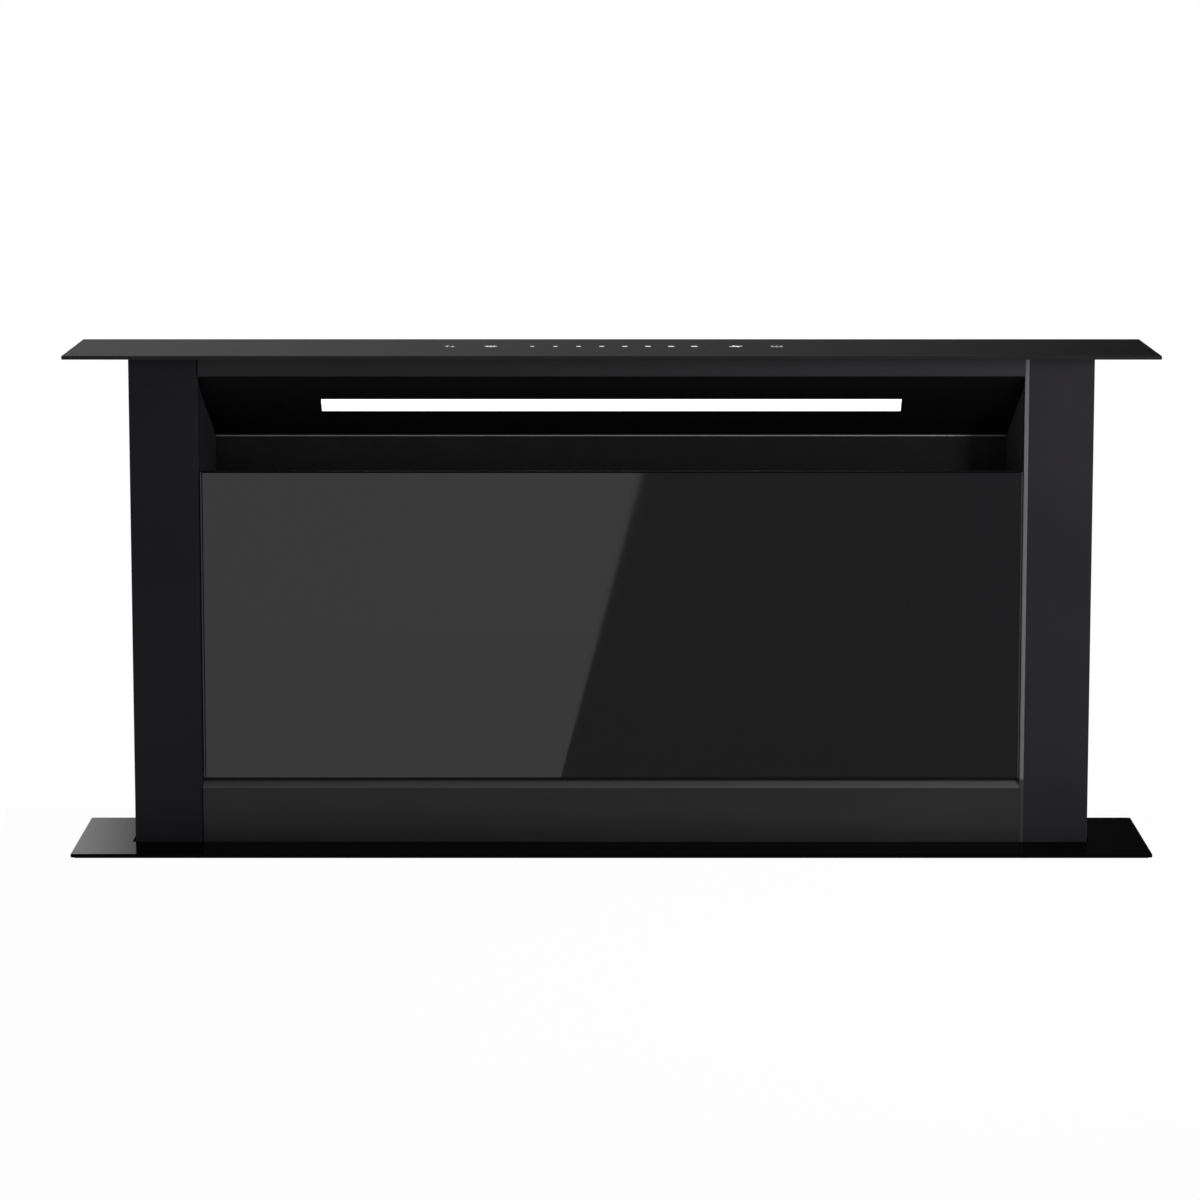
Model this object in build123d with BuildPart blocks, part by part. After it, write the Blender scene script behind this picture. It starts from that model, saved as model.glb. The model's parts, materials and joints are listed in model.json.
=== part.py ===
"""Retractable downdraft vent for a worktop, shown raised, in millimetres.

X runs across the worktop, -Y faces the cook and +Z is up. The origin is the centre of the worktop
cut-out, in the plane of the worktop's upper face.
"""

import os
from math import cos, degrees, hypot, radians, sin

from build123d import *

os.makedirs("parts", exist_ok=True)

# ---------------------------------------------------------------- driving dimensions
# Top plate and the worktop flange of the same outline
plate_width = 880.0
plate_depth = 150.0
plate_thickness = 3.0
plate_corner = 2.0
plate_bevel = 0.5
flange_thickness = 3.0
gasket_thickness = 1.0
gasket_width = 8.0
gasket_inset = 3.0

# Moving column
column_width = 784.0
column_depth = 80.0
front_overhang = 51.0
raised_face = 403.0
skirt_length = 110.0
lift_travel = 400.0
post_width = 56.0
post_wall = 2.0
post_bevel = 3.0
rail_setback = 1.5
rail_wall = 2.0
top_rail_height = 18.6
top_rail_lip = 5.0
sill_height = 51.9
sill_bevel_height = 7.4
sill_bevel_depth = 8.5
sill_depth = 12.0
sill_drop = 7.4
back_sheet = 2.0
back_pressing = 0.8
back_pressing_margin = 25.0

# Air inlet and light
cavity_depth = 62.0
deflector_fall = 54.9
deflector_hem = 48.0
deflector_sheet = 1.2
cheek_taper = 12.0
cheek_start = 16.0
cheek_foot = 6.0
light_width = 475.0
light_height = 24.0
light_set_down = 40.0
light_lip = 3.0
light_bar = 4.0
light_board_thickness = 1.6

# Front panel
glass_thickness = 4.0
glass_height = 253.8
glass_bevel = 0.8
panel_side_gap = 0.8
panel_sill_gap = 0.6
panel_strip = 1.2
carrier_depth = 6.5
carrier_rim = 22.0
carrier_rib = 30.0
panel_pin_radius = 2.0
panel_pin_set_back = 5.8
panel_pin_height = 3.0
catch_width = 12.0
catch_height = 20.0
catch_thickness = 3.5

# Grease filters
filter_height = 252.0
filter_depth = 9.0
filter_rim = 14.0
filter_lean = 8.7
filter_between = 2.0
filter_sheet = 2.0
filter_cell_x = 30.0
filter_cell_y = 24.0
filter_hole = 9.0
filter_tab = 40.0
ledge_thickness = 1.5
ledge_depth = 16.5

# Tray, touch board and pads under the top plate
tray_sheet = 1.5
tray_height = 12.0
touch_width = 300.0
touch_depth = 45.0
touch_thickness = 1.4
touch_margin = 1.0
connector_x = 100.0
connector_width = 22.0
connector_depth = 15.0
connector_height = 4.0
pad_radius = 8.0
pad_height = 2.7
pad_inset_x = 15.0
pad_inset_y = 45.0

# Casing under the worktop
casing_depth = 120.0
casing_side_gap = 24.0
casing_sheet = 1.5
casing_return = 12.0
casing_floor_gap = 25.0
floor_lip = 15.0
bead_width = 30.0
bead_depth = 3.0
bead_margin = 60.0
bead_count = 3

# Guide rails and rollers
rail_web = 2.0
rail_flange = 18.0
rail_top_gap = 14.0
roller_radius = 11.0
roller_width = 8.0
roller_spacing = 54.0
roller_drop = 38.0
roller_crown = 1.0
roller_pin_radius = 3.0
roller_head_radius = 5.0
roller_head = 1.3
roller_spacer = 8.7

# Lift drive
screw_radius = 6.0
screw_set_forward = 17.0
screw_top_gap = 16.0
screw_tail = 24.0
bearing_width = 36.0
bearing_height = 16.0
bearing_drop = 20.0
bearing_nose = 12.0
nut_radius = 11.0
nut_height = 30.0
nut_lift = 15.0
nut_flange_radius = 14.0
nut_flange = 3.0
nut_plate_width = 70.0
nut_plate = 4.0
crossbar_depth = 20.0
crossbar_height = 25.0
gearbox_flange = 60.0
gearbox_flange_thickness = 4.0
gearbox_radius = 26.0
gearbox_height = 40.0
motor_radius = 21.0
motor_height = 60.0

# Blower
blower_x = 110.0
blower_drop = 330.0
volute_radius = 108.0
volute_step = 14.0
volute_wall = 2.5
volute_depth = 90.0
volute_rim = 10.0
ear_overhang = 6.0
ear_width = 15.0
ear_drop = 161.25
volute_rim_thickness = 3.0
outlet_drop = 215.0
eye_radius = 85.0
eye_throat = 81.0
eye_flange = 12.0
eye_sheet = 1.5
eye_lip_depth = 6.0
cover_thickness = 3.0
dome_radius = 55.0
dome_height = 18.0
dome_slots = 16
dome_slot_width = 3.0
dome_slot_length = 18.0
wheel_radius = 100.0
wheel_width = 74.0
wheel_inset = 3.5
wheel_ring = 3.0
wheel_ring_width = 14.0
wheel_plate = 2.0
wheel_cup_radius = 50.0
wheel_cup_depth = 34.0
blade_count = 36
blade_thickness = 1.2
blade_chord = 16.0
blade_sweep = 7.0
blade_bow = 1.2
hub_radius = 10.0
hub_length = 20.0
shaft_radius = 4.0
shaft_depth_in_motor = 30.0
fan_motor_radius = 46.0
fan_motor_length = 58.5

# Outlet, duct collar and non-return flaps
duct_radius = 75.0
duct_wall = 2.0
duct_length = 55.0
duct_flange = 7.0
duct_flange_thickness = 3.0
adaptor_height = 49.0
adaptor_wall = 2.5
adaptor_lip = 4.0
seat_ring_width = 4.0
seat_ring_height = 2.0
seat_ring_drop = 12.0
flap_thickness = 1.2
flap_edge_gap = 1.5
flap_middle_gap = 3.6
flap_seat_gap = 0.4
knuckle_radius = 3.2
knuckle_length = 20.0
knuckle_pitch = 21.5
damper_pin_radius = 1.5

# Control box
box_width = 130.0
box_height = 120.0
box_depth = 38.0
box_wall = 2.5
box_left = 330.0
box_drop = 130.0
box_corner = 6.0
box_rib_count = 6
gland_radius = 8.0
gland_bore = 4.0
gland_length = 22.0
gland_nut = 10.0
gland_inset = 30.0

# Brackets and screws
worktop_thickness = 30.0
clamp_width = 70.0
clamp_sheet = 2.0
clamp_reach = 34.5
clamp_leg = 56.0
clamp_drop = 4.0
clamp_screw_radius = 3.0
clamp_screw_spacing = 44.0
clamp_screw_reach = 20.0
clamp_pad_radius = 7.0
clamp_pad = 1.5
clamp_head_radius = 5.5
clamp_bolt_drop = 39.2
foot_width = 60.0
foot_sheet = 2.5
foot_reach = 37.5
foot_leg = 66.5
foot_hole_radius = 3.5
foot_hole_spacing = 36.0
foot_hole_reach = 22.5
foot_bolt_height = 49.9
bolt_radius = 2.0
bolt_head_radius = 4.0
bolt_head = 2.5

# Named clearances
running_gap = 0.05
sliding_gap = 0.3
fit_gap = 0.2
cut_gap = 2.2
wiper_gap = 0.4
wiper_width = 10.0
wiper_height = 3.0

# ---------------------------------------------------------------- places worked out from them
flange_top = gasket_thickness + flange_thickness
plate_underside = flange_top + raised_face
column_half = column_width / 2
column_front = -plate_depth / 2 + front_overhang
column_back_y = column_front + column_depth
inner_half = column_half - post_width
rail_front = column_front + rail_setback
rail_back = rail_front + rail_wall
back_inner = column_back_y - back_sheet
sill_top = flange_top + sill_height
slot_top = plate_underside - top_rail_height
glass_bottom = sill_top + panel_sill_gap
glass_top = glass_bottom + glass_height
glass_back = rail_front + glass_thickness
carrier_back = glass_back + carrier_depth
carrier_half = inner_half - panel_side_gap
cavity_back = column_front + cavity_depth
cheek_front = column_front + cheek_start

casing_half = column_half + casing_side_gap
casing_outer = casing_half + casing_sheet
casing_front = -casing_depth / 2
casing_back = casing_depth / 2
floor_top = -skirt_length - lift_travel - casing_floor_gap
floor_bottom = floor_top - casing_sheet
rail_y = (column_front + column_back_y) / 2
screw_y = column_front - screw_set_forward

blower_z = -blower_drop
volute_back = casing_front - volute_wall
volute_front = volute_back - volute_depth
outlet_z = blower_z - outlet_drop
tongue_x = volute_radius * cos(radians(45)) - volute_step / 2
tongue_z = -volute_radius * sin(radians(45)) - volute_step / 2
outlet_right = volute_radius + volute_step * 3.5
duct_x = blower_x + (tongue_x + outlet_right) / 2
duct_y = (volute_back + volute_front) / 2
adaptor_top = outlet_z - duct_flange_thickness
adaptor_bottom = adaptor_top - adaptor_height
collar_top = adaptor_bottom
collar_bottom = collar_top - duct_flange_thickness - duct_length
seat_z = collar_top - seat_ring_drop
flap_z = seat_z - flap_seat_gap - flap_thickness / 2


# ---------------------------------------------------------------- helpers
def rectangle_between(low, high, mode=Mode.ADD):
    """A rectangle in the active sketch, from its lowest to its highest corner."""
    with Locations(((low[0] + high[0]) / 2, (low[1] + high[1]) / 2)):
        Rectangle(high[0] - low[0], high[1] - low[1], mode=mode)


def cheek_half_width(y):
    """Half the width between the duct cheeks at depth y."""
    return inner_half - cheek_taper * max(0.0, y - cheek_front) / (back_inner - cheek_front)


def trim_to_cheeks(bottom, top):
    """Cuts the active part back to the space between the two tapering cheeks."""
    with BuildSketch(Plane.XY.offset(bottom)) as outside:
        for side in (-1, 1):
            with BuildLine():
                Polyline(
                    (side * (inner_half - fit_gap), cheek_front),
                    (side * (cheek_half_width(back_inner) - fit_gap), back_inner),
                    (side * column_half, back_inner),
                    (side * column_half, cheek_front),
                    close=True,
                )
            make_face()
    extrude(outside.sketch, amount=top - bottom, mode=Mode.SUBTRACT)


# ---------------------------------------------------------------- worktop flange and seals
with BuildPart() as worktop_flange:
    with BuildSketch(Plane.XY.offset(gasket_thickness)):
        RectangleRounded(plate_width, plate_depth, plate_corner)
        rectangle_between(
            (-column_half - cut_gap, column_front - cut_gap),
            (column_half + cut_gap, column_back_y + cut_gap),
            mode=Mode.SUBTRACT,
        )
    extrude(amount=flange_thickness)
    chamfer(worktop_flange.faces().sort_by(Axis.Z)[-1].outer_wire().edges(), length=plate_bevel)

with BuildPart() as flange_gasket:
    with BuildSketch():
        Rectangle(plate_width - 2 * gasket_inset, plate_depth - 2 * gasket_inset)
        offset(amount=-gasket_width, mode=Mode.SUBTRACT)
    extrude(amount=gasket_thickness)

with BuildPart() as wiper_seal:
    with BuildSketch(Plane.XY.offset(gasket_thickness)):
        rectangle_between(
            (-column_half - wiper_width, column_front - wiper_width),
            (column_half + wiper_width, casing_back - casing_sheet - fit_gap),
        )
        rectangle_between(
            (-column_half - wiper_gap, column_front - wiper_gap),
            (column_half + wiper_gap, column_back_y + wiper_gap),
            mode=Mode.SUBTRACT,
        )
    extrude(amount=-wiper_height)

# ---------------------------------------------------------------- casing under the worktop
casing_height = gasket_thickness - floor_bottom

with BuildPart() as chassis_front:
    with BuildSketch(Plane.XZ.offset(-casing_front)):
        rectangle_between((-casing_outer, floor_bottom), (casing_outer, gasket_thickness))
        with Locations((blower_x, blower_z)):
            Circle(eye_radius + volute_wall, mode=Mode.SUBTRACT)
    extrude(amount=-casing_sheet)

with BuildPart() as chassis_back:
    with BuildSketch(Plane.XZ.offset(-casing_back)):
        rectangle_between((-casing_outer, floor_bottom), (casing_outer, gasket_thickness))
    extrude(amount=casing_sheet)
    bead_room = casing_height - 2 * bead_margin
    bead_heights = [floor_bottom + bead_margin + bead_room * k / (bead_count - 1) for k in range(bead_count)]
    with BuildSketch(Plane.XZ.offset(-casing_back)):
        with Locations(*[(0, z) for z in bead_heights]):
            SlotOverall(2 * (casing_half - bead_margin), bead_width)
    extrude(amount=-bead_depth)
    with BuildSketch(Plane.XZ.offset(casing_sheet - casing_back)):
        with Locations(*[(0, z) for z in bead_heights]):
            SlotOverall(2 * (casing_half - bead_margin - casing_sheet), bead_width - 2 * casing_sheet)
    extrude(amount=-bead_depth, mode=Mode.SUBTRACT)


def casing_side(side):
    """A side wall with a spot-weld return against the front and the back wall."""
    web_x = side * casing_half
    face_y = casing_depth / 2 - casing_sheet
    with BuildPart() as wall:
        with BuildSketch(Plane.XY.offset(floor_bottom)):
            with BuildLine():
                Polyline(
                    (web_x + side * casing_sheet, -face_y),
                    (web_x - side * casing_return, -face_y),
                    (web_x - side * casing_return, casing_sheet - face_y),
                    (web_x, casing_sheet - face_y),
                    (web_x, face_y - casing_sheet),
                    (web_x - side * casing_return, face_y - casing_sheet),
                    (web_x - side * casing_return, face_y),
                    (web_x + side * casing_sheet, face_y),
                    close=True,
                )
            make_face()
        extrude(amount=casing_height)
        for bolt_y, bolt_z in clamp_bolts + foot_bolts:
            with BuildSketch(Plane.YZ.offset(web_x)):
                with Locations((bolt_y, bolt_z)):
                    Circle(bolt_radius)
            extrude(amount=side * casing_sheet, mode=Mode.SUBTRACT)
    return wall


clamp_bolt_z = -worktop_thickness - clamp_drop - clamp_bolt_drop
foot_bolt_z = floor_bottom + foot_bolt_height
clamp_bolts = [(-clamp_width / 4, clamp_bolt_z), (clamp_width / 4, clamp_bolt_z)]
foot_bolts = [(-foot_width / 4, foot_bolt_z), (foot_width / 4, foot_bolt_z)]
chassis_side_left = casing_side(-1)
chassis_side_right = casing_side(1)

with BuildPart() as chassis_floor:
    floor_x = casing_half - fit_gap
    floor_y = casing_depth / 2 - 2 * casing_sheet - fit_gap
    with BuildSketch(Plane.XY.offset(floor_bottom)):
        Rectangle(2 * floor_x, 2 * floor_y)
    extrude(amount=casing_sheet + floor_lip)
    with BuildSketch(Plane.XY.offset(floor_top)):
        Rectangle(2 * (floor_x - casing_sheet), 2 * (floor_y - casing_sheet))
    extrude(amount=floor_lip, mode=Mode.SUBTRACT)
    with BuildSketch(Plane.XY.offset(floor_bottom)):
        with Locations((0, screw_y)):
            Circle(screw_radius + cut_gap)
    extrude(amount=casing_sheet, mode=Mode.SUBTRACT)


# ---------------------------------------------------------------- guide rails and rollers
def guide_rail(side):
    """A channel on the side wall, open towards the column."""
    web_x = side * casing_half
    channel = roller_radius + sliding_gap
    with BuildPart() as rail:
        with BuildSketch(Plane.XY.offset(floor_top + floor_lip + fit_gap)):
            with Locations((web_x - side * rail_flange / 2, rail_y)):
                Rectangle(rail_flange, 2 * (channel + rail_web))
            with Locations((web_x - side * (rail_web + rail_flange / 2), rail_y)):
                Rectangle(rail_flange, 2 * channel, mode=Mode.SUBTRACT)
        extrude(amount=-rail_top_gap - floor_top - floor_lip - fit_gap)
    return rail


guide_rail_left = guide_rail(-1)
guide_rail_right = guide_rail(1)

roller_heights = {"high": -roller_drop, "low": -roller_drop - roller_spacing}
roller_near = column_half + roller_spacer + sliding_gap


def guide_roller(side, height):
    """A crowned wheel that turns on a pin of the post's side."""
    with BuildPart() as roller:
        with BuildSketch(Plane.YZ.offset(side * roller_near)):
            with Locations((rail_y, height)):
                Circle(roller_radius)
                Circle(roller_pin_radius + running_gap, mode=Mode.SUBTRACT)
        extrude(amount=side * roller_width)
        rims = roller.edges().filter_by(GeomType.CIRCLE).group_by(SortBy.RADIUS)[-1]
        chamfer(rims, length=roller_crown)
    return roller


rollers = {
    f"guide_roller_{word}_{level}": guide_roller(side, height)
    for side, word in ((-1, "left"), (1, "right"))
    for level, height in roller_heights.items()
}

with BuildPart() as roller_pins:
    wall_inside = column_half - post_wall
    pin_end = roller_near + roller_width + sliding_gap
    for side in (-1, 1):
        for height in roller_heights.values():
            pin_line = Axis((0, rail_y, height), (1, 0, 0))
            with BuildSketch(Plane.XY.offset(height)):
                with BuildLine():
                    Polyline(
                        (side * (wall_inside - roller_head), rail_y),
                        (side * (wall_inside - roller_head), rail_y + roller_head_radius),
                        (side * wall_inside, rail_y + roller_head_radius),
                        (side * wall_inside, rail_y + roller_pin_radius),
                        (side * column_half, rail_y + roller_pin_radius),
                        (side * column_half, rail_y + roller_head_radius),
                        (side * (column_half + roller_spacer), rail_y + roller_head_radius),
                        (side * (column_half + roller_spacer), rail_y + roller_pin_radius),
                        (side * pin_end, rail_y + roller_pin_radius),
                        (side * pin_end, rail_y + roller_head_radius),
                        (side * (pin_end + roller_head), rail_y + roller_head_radius),
                        (side * (pin_end + roller_head), rail_y),
                        close=True,
                    )
                make_face()
            revolve(axis=pin_line)

# ---------------------------------------------------------------- column frame
panel_pin_y = rail_front - rail_setback + panel_pin_set_back
panel_pin_z = glass_bottom + panel_pin_height


def column_post(side):
    """A hollow extruded post with a bevelled inner edge and the bores of its pins."""
    with BuildPart() as post:
        with BuildSketch(Plane.XY.offset(-skirt_length)):
            with BuildLine():
                Polyline(
                    (side * inner_half, column_front + post_bevel),
                    (side * (inner_half + post_bevel), column_front),
                    (side * column_half, column_front),
                    (side * column_half, column_back_y),
                    (side * inner_half, column_back_y),
                    close=True,
                )
            make_face()
            offset(amount=-post_wall, kind=Kind.INTERSECTION, mode=Mode.SUBTRACT)
        extrude(amount=plate_underside + skirt_length)
        with BuildSketch(Plane.YZ.offset(side * inner_half)):
            with Locations((panel_pin_y, panel_pin_z)):
                Circle(panel_pin_radius + running_gap)
        extrude(amount=side * post_wall, mode=Mode.SUBTRACT)
        with BuildSketch(Plane.YZ.offset(side * (column_half - post_wall))):
            with Locations(*[(rail_y, height) for height in roller_heights.values()]):
                Circle(roller_pin_radius)
        extrude(amount=side * post_wall, mode=Mode.SUBTRACT)
    return post


post_left = column_post(-1)
post_right = column_post(1)

with BuildPart() as top_rail:
    with BuildSketch(Plane.YZ.offset(-inner_half)):
        rectangle_between((rail_front, slot_top), (rail_back, plate_underside))
        rectangle_between(
            (rail_front, plate_underside - rail_wall),
            (rail_front + top_rail_lip, plate_underside),
        )
    extrude(amount=2 * inner_half)

with BuildPart() as bottom_rail:
    sill_back = rail_front + sill_depth
    ledge_top = sill_top - sill_drop
    with BuildSketch(Plane.YZ.offset(-inner_half)):
        with BuildLine():
            Polyline(
                (rail_front, -skirt_length),
                (rail_front, sill_top - sill_bevel_height),
                (rail_front + sill_bevel_depth, sill_top),
                (sill_back, sill_top),
                (sill_back, ledge_top),
                (sill_back + ledge_depth, ledge_top),
                (sill_back + ledge_depth, ledge_top - ledge_thickness),
                (rail_back, ledge_top - ledge_thickness),
                (rail_back, -skirt_length),
                close=True,
            )
        make_face()
    extrude(amount=2 * inner_half)
    trim_to_cheeks(-skirt_length, sill_top)

with BuildPart() as column_back:
    with BuildSketch(Plane.XZ.offset(-column_back_y)):
        rectangle_between((-inner_half, -skirt_length), (inner_half, plate_underside))
    extrude(amount=back_sheet)
    with BuildSketch(Plane.XZ.offset(-column_back_y)):
        with Locations((0, (flange_top + plate_underside) / 2)):
            RectangleRounded(
                2 * (inner_half - back_pressing_margin),
                raised_face - 2 * back_pressing_margin,
                box_corner,
            )
    extrude(amount=back_pressing, mode=Mode.SUBTRACT)


def duct_cheek(side):
    """A side wall of the air way, which narrows towards the back."""
    with BuildPart() as cheek:
        with BuildSketch(Plane.XY.offset(-skirt_length)):
            with BuildLine():
                Polyline(
                    (side * inner_half, cheek_front),
                    (side * inner_half, cheek_front + cheek_foot),
                    (side * (cheek_half_width(back_inner) + deflector_sheet), back_inner),
                    (side * cheek_half_width(back_inner), back_inner),
                    close=True,
                )
            make_face()
        extrude(amount=slot_top + skirt_length)
    return cheek


duct_cheek_left = duct_cheek(-1)
duct_cheek_right = duct_cheek(1)

# ---------------------------------------------------------------- slanted ceiling of the inlet, and its light
deflector_run = cavity_back - rail_back
deflector_slope = deflector_fall / deflector_run
deflector_rise = deflector_sheet * hypot(1, deflector_slope)
deflector_low = slot_top - deflector_fall
light_middle_y = rail_back + light_set_down / hypot(1, deflector_slope)
light_middle_z = slot_top - (light_middle_y - rail_back) * deflector_slope
ceiling_plane = Plane(
    origin=(0, light_middle_y, light_middle_z),
    x_dir=(1, 0, 0),
    z_dir=(0, -deflector_slope, -1),
)

with BuildPart() as air_deflector:
    with BuildSketch(Plane.YZ.offset(-inner_half)):
        with BuildLine():
            Polyline(
                (rail_back, slot_top),
                (cavity_back, deflector_low),
                (cavity_back, deflector_low - deflector_hem),
                (cavity_back + deflector_sheet, deflector_low - deflector_hem),
                (
                    cavity_back + deflector_sheet,
                    deflector_low + deflector_rise - deflector_sheet * deflector_slope,
                ),
                (rail_back, slot_top + deflector_rise),
                close=True,
            )
        make_face()
    extrude(amount=2 * inner_half)
    trim_to_cheeks(deflector_low - deflector_hem, plate_underside)
    with BuildSketch(ceiling_plane):
        Rectangle(light_width, light_height)
    extrude(amount=-2 * deflector_sheet, both=True, mode=Mode.SUBTRACT)

with BuildPart() as light_lens:
    with BuildSketch(ceiling_plane):
        Rectangle(light_width - 2 * fit_gap, light_height - 2 * fit_gap)
    extrude(amount=-deflector_sheet)
    with BuildSketch(ceiling_plane.offset(-deflector_sheet)):
        Rectangle(light_width + 2 * light_lip, light_height + 2 * light_lip)
    extrude(amount=-light_bar)

with BuildPart() as light_board:
    with BuildSketch(ceiling_plane.offset(-deflector_sheet - light_bar)):
        Rectangle(light_width, light_height - 2 * light_lip)
    extrude(amount=-light_board_thickness)

# ---------------------------------------------------------------- grease filters
filter_width = cheek_half_width(cavity_back) - filter_between / 2 - 2 * fit_gap
filter_foot_z = ledge_top + filter_depth * sin(radians(filter_lean)) + fit_gap


def grease_filter(side):
    """A leaning metal cassette: a rim round a sheet of diamond openings, with a pull tab."""
    middle_x = side * (filter_between / 2 + filter_width / 2)
    lean = radians(filter_lean)
    face = Plane(
        origin=(middle_x, sill_back + sliding_gap, filter_foot_z),
        x_dir=(1, 0, 0),
        z_dir=(0, -cos(lean), sin(lean)),
    )
    inner_width = filter_width - 2 * filter_rim
    inner_height = filter_height - 2 * filter_rim
    middle = (0, filter_height / 2)
    with BuildPart() as cassette:
        with BuildSketch(face):
            with Locations(middle):
                Rectangle(filter_width, filter_height)
                Rectangle(inner_width, inner_height, mode=Mode.SUBTRACT)
        extrude(amount=-filter_depth)
        with BuildSketch(face.offset(-(filter_depth - filter_sheet) / 2)):
            with Locations(middle):
                Rectangle(inner_width, inner_height)
                columns = int((inner_width - filter_hole) // filter_cell_x)
                rows = int((inner_height - filter_hole) // filter_cell_y)
                with GridLocations(filter_cell_x, filter_cell_y, columns, rows):
                    RegularPolygon(filter_hole, 4, mode=Mode.SUBTRACT)
        extrude(amount=-filter_sheet)
        with BuildSketch(face):
            with Locations((0, filter_height - filter_rim / 2)):
                SlotOverall(filter_tab, filter_rim / 2)
        extrude(amount=filter_sheet)
    return cassette


grease_filter_left = grease_filter(-1)
grease_filter_right = grease_filter(1)

# ---------------------------------------------------------------- front panel
with BuildPart() as front_glass:
    with BuildSketch(Plane.XZ.offset(-rail_front)):
        rectangle_between(
            (panel_strip - carrier_half, glass_bottom),
            (carrier_half - panel_strip, glass_top),
        )
    extrude(amount=-glass_thickness)
    chamfer(front_glass.faces().sort_by(Axis.Y)[0].edges(), length=glass_bevel)

with BuildPart() as panel_carrier:
    with BuildSketch(Plane.XZ.offset(-glass_back)):
        rectangle_between((-carrier_half, glass_bottom), (carrier_half, glass_top))
        for side in (-1, 1):
            low_x = min(side * carrier_rib / 2, side * (carrier_half - carrier_rim))
            high_x = max(side * carrier_rib / 2, side * (carrier_half - carrier_rim))
            rectangle_between(
                (low_x, glass_bottom + carrier_rim),
                (high_x, glass_top - carrier_rim),
                mode=Mode.SUBTRACT,
            )
    extrude(amount=-carrier_depth)
    with BuildSketch(Plane.XZ.offset(-glass_back)):
        for side in (-1, 1):
            with Locations((side * (carrier_half - panel_strip / 2), (glass_bottom + glass_top) / 2)):
                Rectangle(panel_strip, glass_height)
    extrude(amount=glass_thickness - glass_bevel)
    for side in (-1, 1):
        with BuildSketch(Plane.YZ.offset(side * carrier_half)):
            with Locations((panel_pin_y, panel_pin_z)):
                Circle(panel_pin_radius)
        extrude(amount=side * (panel_side_gap + post_wall))

with BuildPart() as panel_catches:
    for side in (-1, 1):
        with BuildSketch(Plane.XZ.offset(-carrier_back - sliding_gap)):
            with Locations((side * (inner_half - catch_width / 2), glass_top - catch_height)):
                Rectangle(catch_width, catch_height)
        extrude(amount=-catch_thickness)

# ---------------------------------------------------------------- top plate and what it carries
with BuildPart() as top_plate:
    with BuildSketch(Plane.XY.offset(plate_underside)):
        RectangleRounded(plate_width, plate_depth, plate_corner)
    extrude(amount=plate_thickness)
    chamfer(top_plate.faces().sort_by(Axis.Z)[-1].edges(), length=plate_bevel)
    chamfer(top_plate.faces().sort_by(Axis.Z)[0].edges(), length=plate_bevel / 2)

with BuildPart() as plate_carrier:
    tray_front = rail_front + top_rail_lip + fit_gap
    tray_back = back_inner - fit_gap
    tray_half = inner_half - fit_gap
    touch_y = tray_front + tray_sheet + touch_margin + touch_depth / 2
    with BuildSketch(Plane.XY.offset(plate_underside - tray_height)):
        rectangle_between((-tray_half, tray_front), (tray_half, tray_back))
    extrude(amount=tray_height)
    with BuildSketch(Plane.XY.offset(plate_underside - tray_height)):
        rectangle_between(
            (tray_sheet - tray_half, tray_front + tray_sheet),
            (tray_half - tray_sheet, tray_back - tray_sheet),
        )
    extrude(amount=tray_height - tray_sheet, mode=Mode.SUBTRACT)
    with BuildSketch(Plane.XY.offset(plate_underside)):
        with Locations((0, touch_y)):
            Rectangle(touch_width + 2 * fit_gap, touch_depth + 2 * fit_gap)
    extrude(amount=-tray_sheet, mode=Mode.SUBTRACT)

with BuildPart() as touch_board:
    with BuildSketch(Plane.XY.offset(plate_underside - fit_gap)):
        with Locations((0, touch_y)):
            Rectangle(touch_width, touch_depth)
    extrude(amount=-touch_thickness)
    with BuildSketch(Plane.XY.offset(plate_underside - fit_gap - touch_thickness)):
        with Locations((connector_x, touch_y)):
            Rectangle(connector_width, connector_depth)
    extrude(amount=-connector_height)

with BuildPart() as plate_bumpers:
    with BuildSketch(Plane.XY.offset(plate_underside)):
        with GridLocations(plate_width - 2 * pad_inset_x, plate_depth - 2 * pad_inset_y, 2, 2):
            Circle(pad_radius)
    extrude(amount=-pad_height)

# ---------------------------------------------------------------- lift drive
with BuildPart() as lift_crossbar:
    with BuildSketch(Plane.YZ.offset(-inner_half)):
        rectangle_between(
            (back_inner - crossbar_depth, -skirt_length),
            (back_inner - fit_gap, crossbar_height - skirt_length),
        )
        rectangle_between(
            (back_inner - crossbar_depth + rail_wall, -skirt_length),
            (back_inner - fit_gap - rail_wall, crossbar_height - skirt_length - rail_wall),
            mode=Mode.SUBTRACT,
        )
    extrude(amount=2 * inner_half)
    trim_to_cheeks(-skirt_length, crossbar_height - skirt_length)

nut_bottom = nut_lift - skirt_length

with BuildPart() as nut_bracket:
    with BuildSketch(Plane.XY.offset(nut_bottom)):
        rectangle_between((-nut_plate_width / 2, rail_front - nut_plate), (nut_plate_width / 2, rail_front))
        rectangle_between((-nut_flange_radius, screw_y), (nut_flange_radius, rail_front))
        with Locations((0, screw_y)):
            Circle(nut_flange_radius)
            Circle(nut_radius, mode=Mode.SUBTRACT)
    extrude(amount=nut_height)

with BuildPart() as lift_nut:
    with BuildSketch(Plane.XY.offset(nut_bottom)):
        with Locations((0, screw_y)):
            Circle(nut_radius)
    extrude(amount=nut_height)
    with BuildSketch(Plane.XY.offset(nut_bottom)):
        with Locations((0, screw_y)):
            Circle(nut_flange_radius)
    extrude(amount=-nut_flange)
    with Locations(Plane.XY.offset(nut_bottom + nut_height) * Pos(0, screw_y, 0)):
        Hole(screw_radius + running_gap)

with BuildPart() as lead_screw:
    with BuildSketch(Plane.XY.offset(floor_bottom - screw_tail)):
        with Locations((0, screw_y)):
            Circle(screw_radius)
    extrude(amount=screw_tail - floor_bottom - screw_top_gap)
    chamfer(lead_screw.edges(), length=roller_crown)

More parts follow.
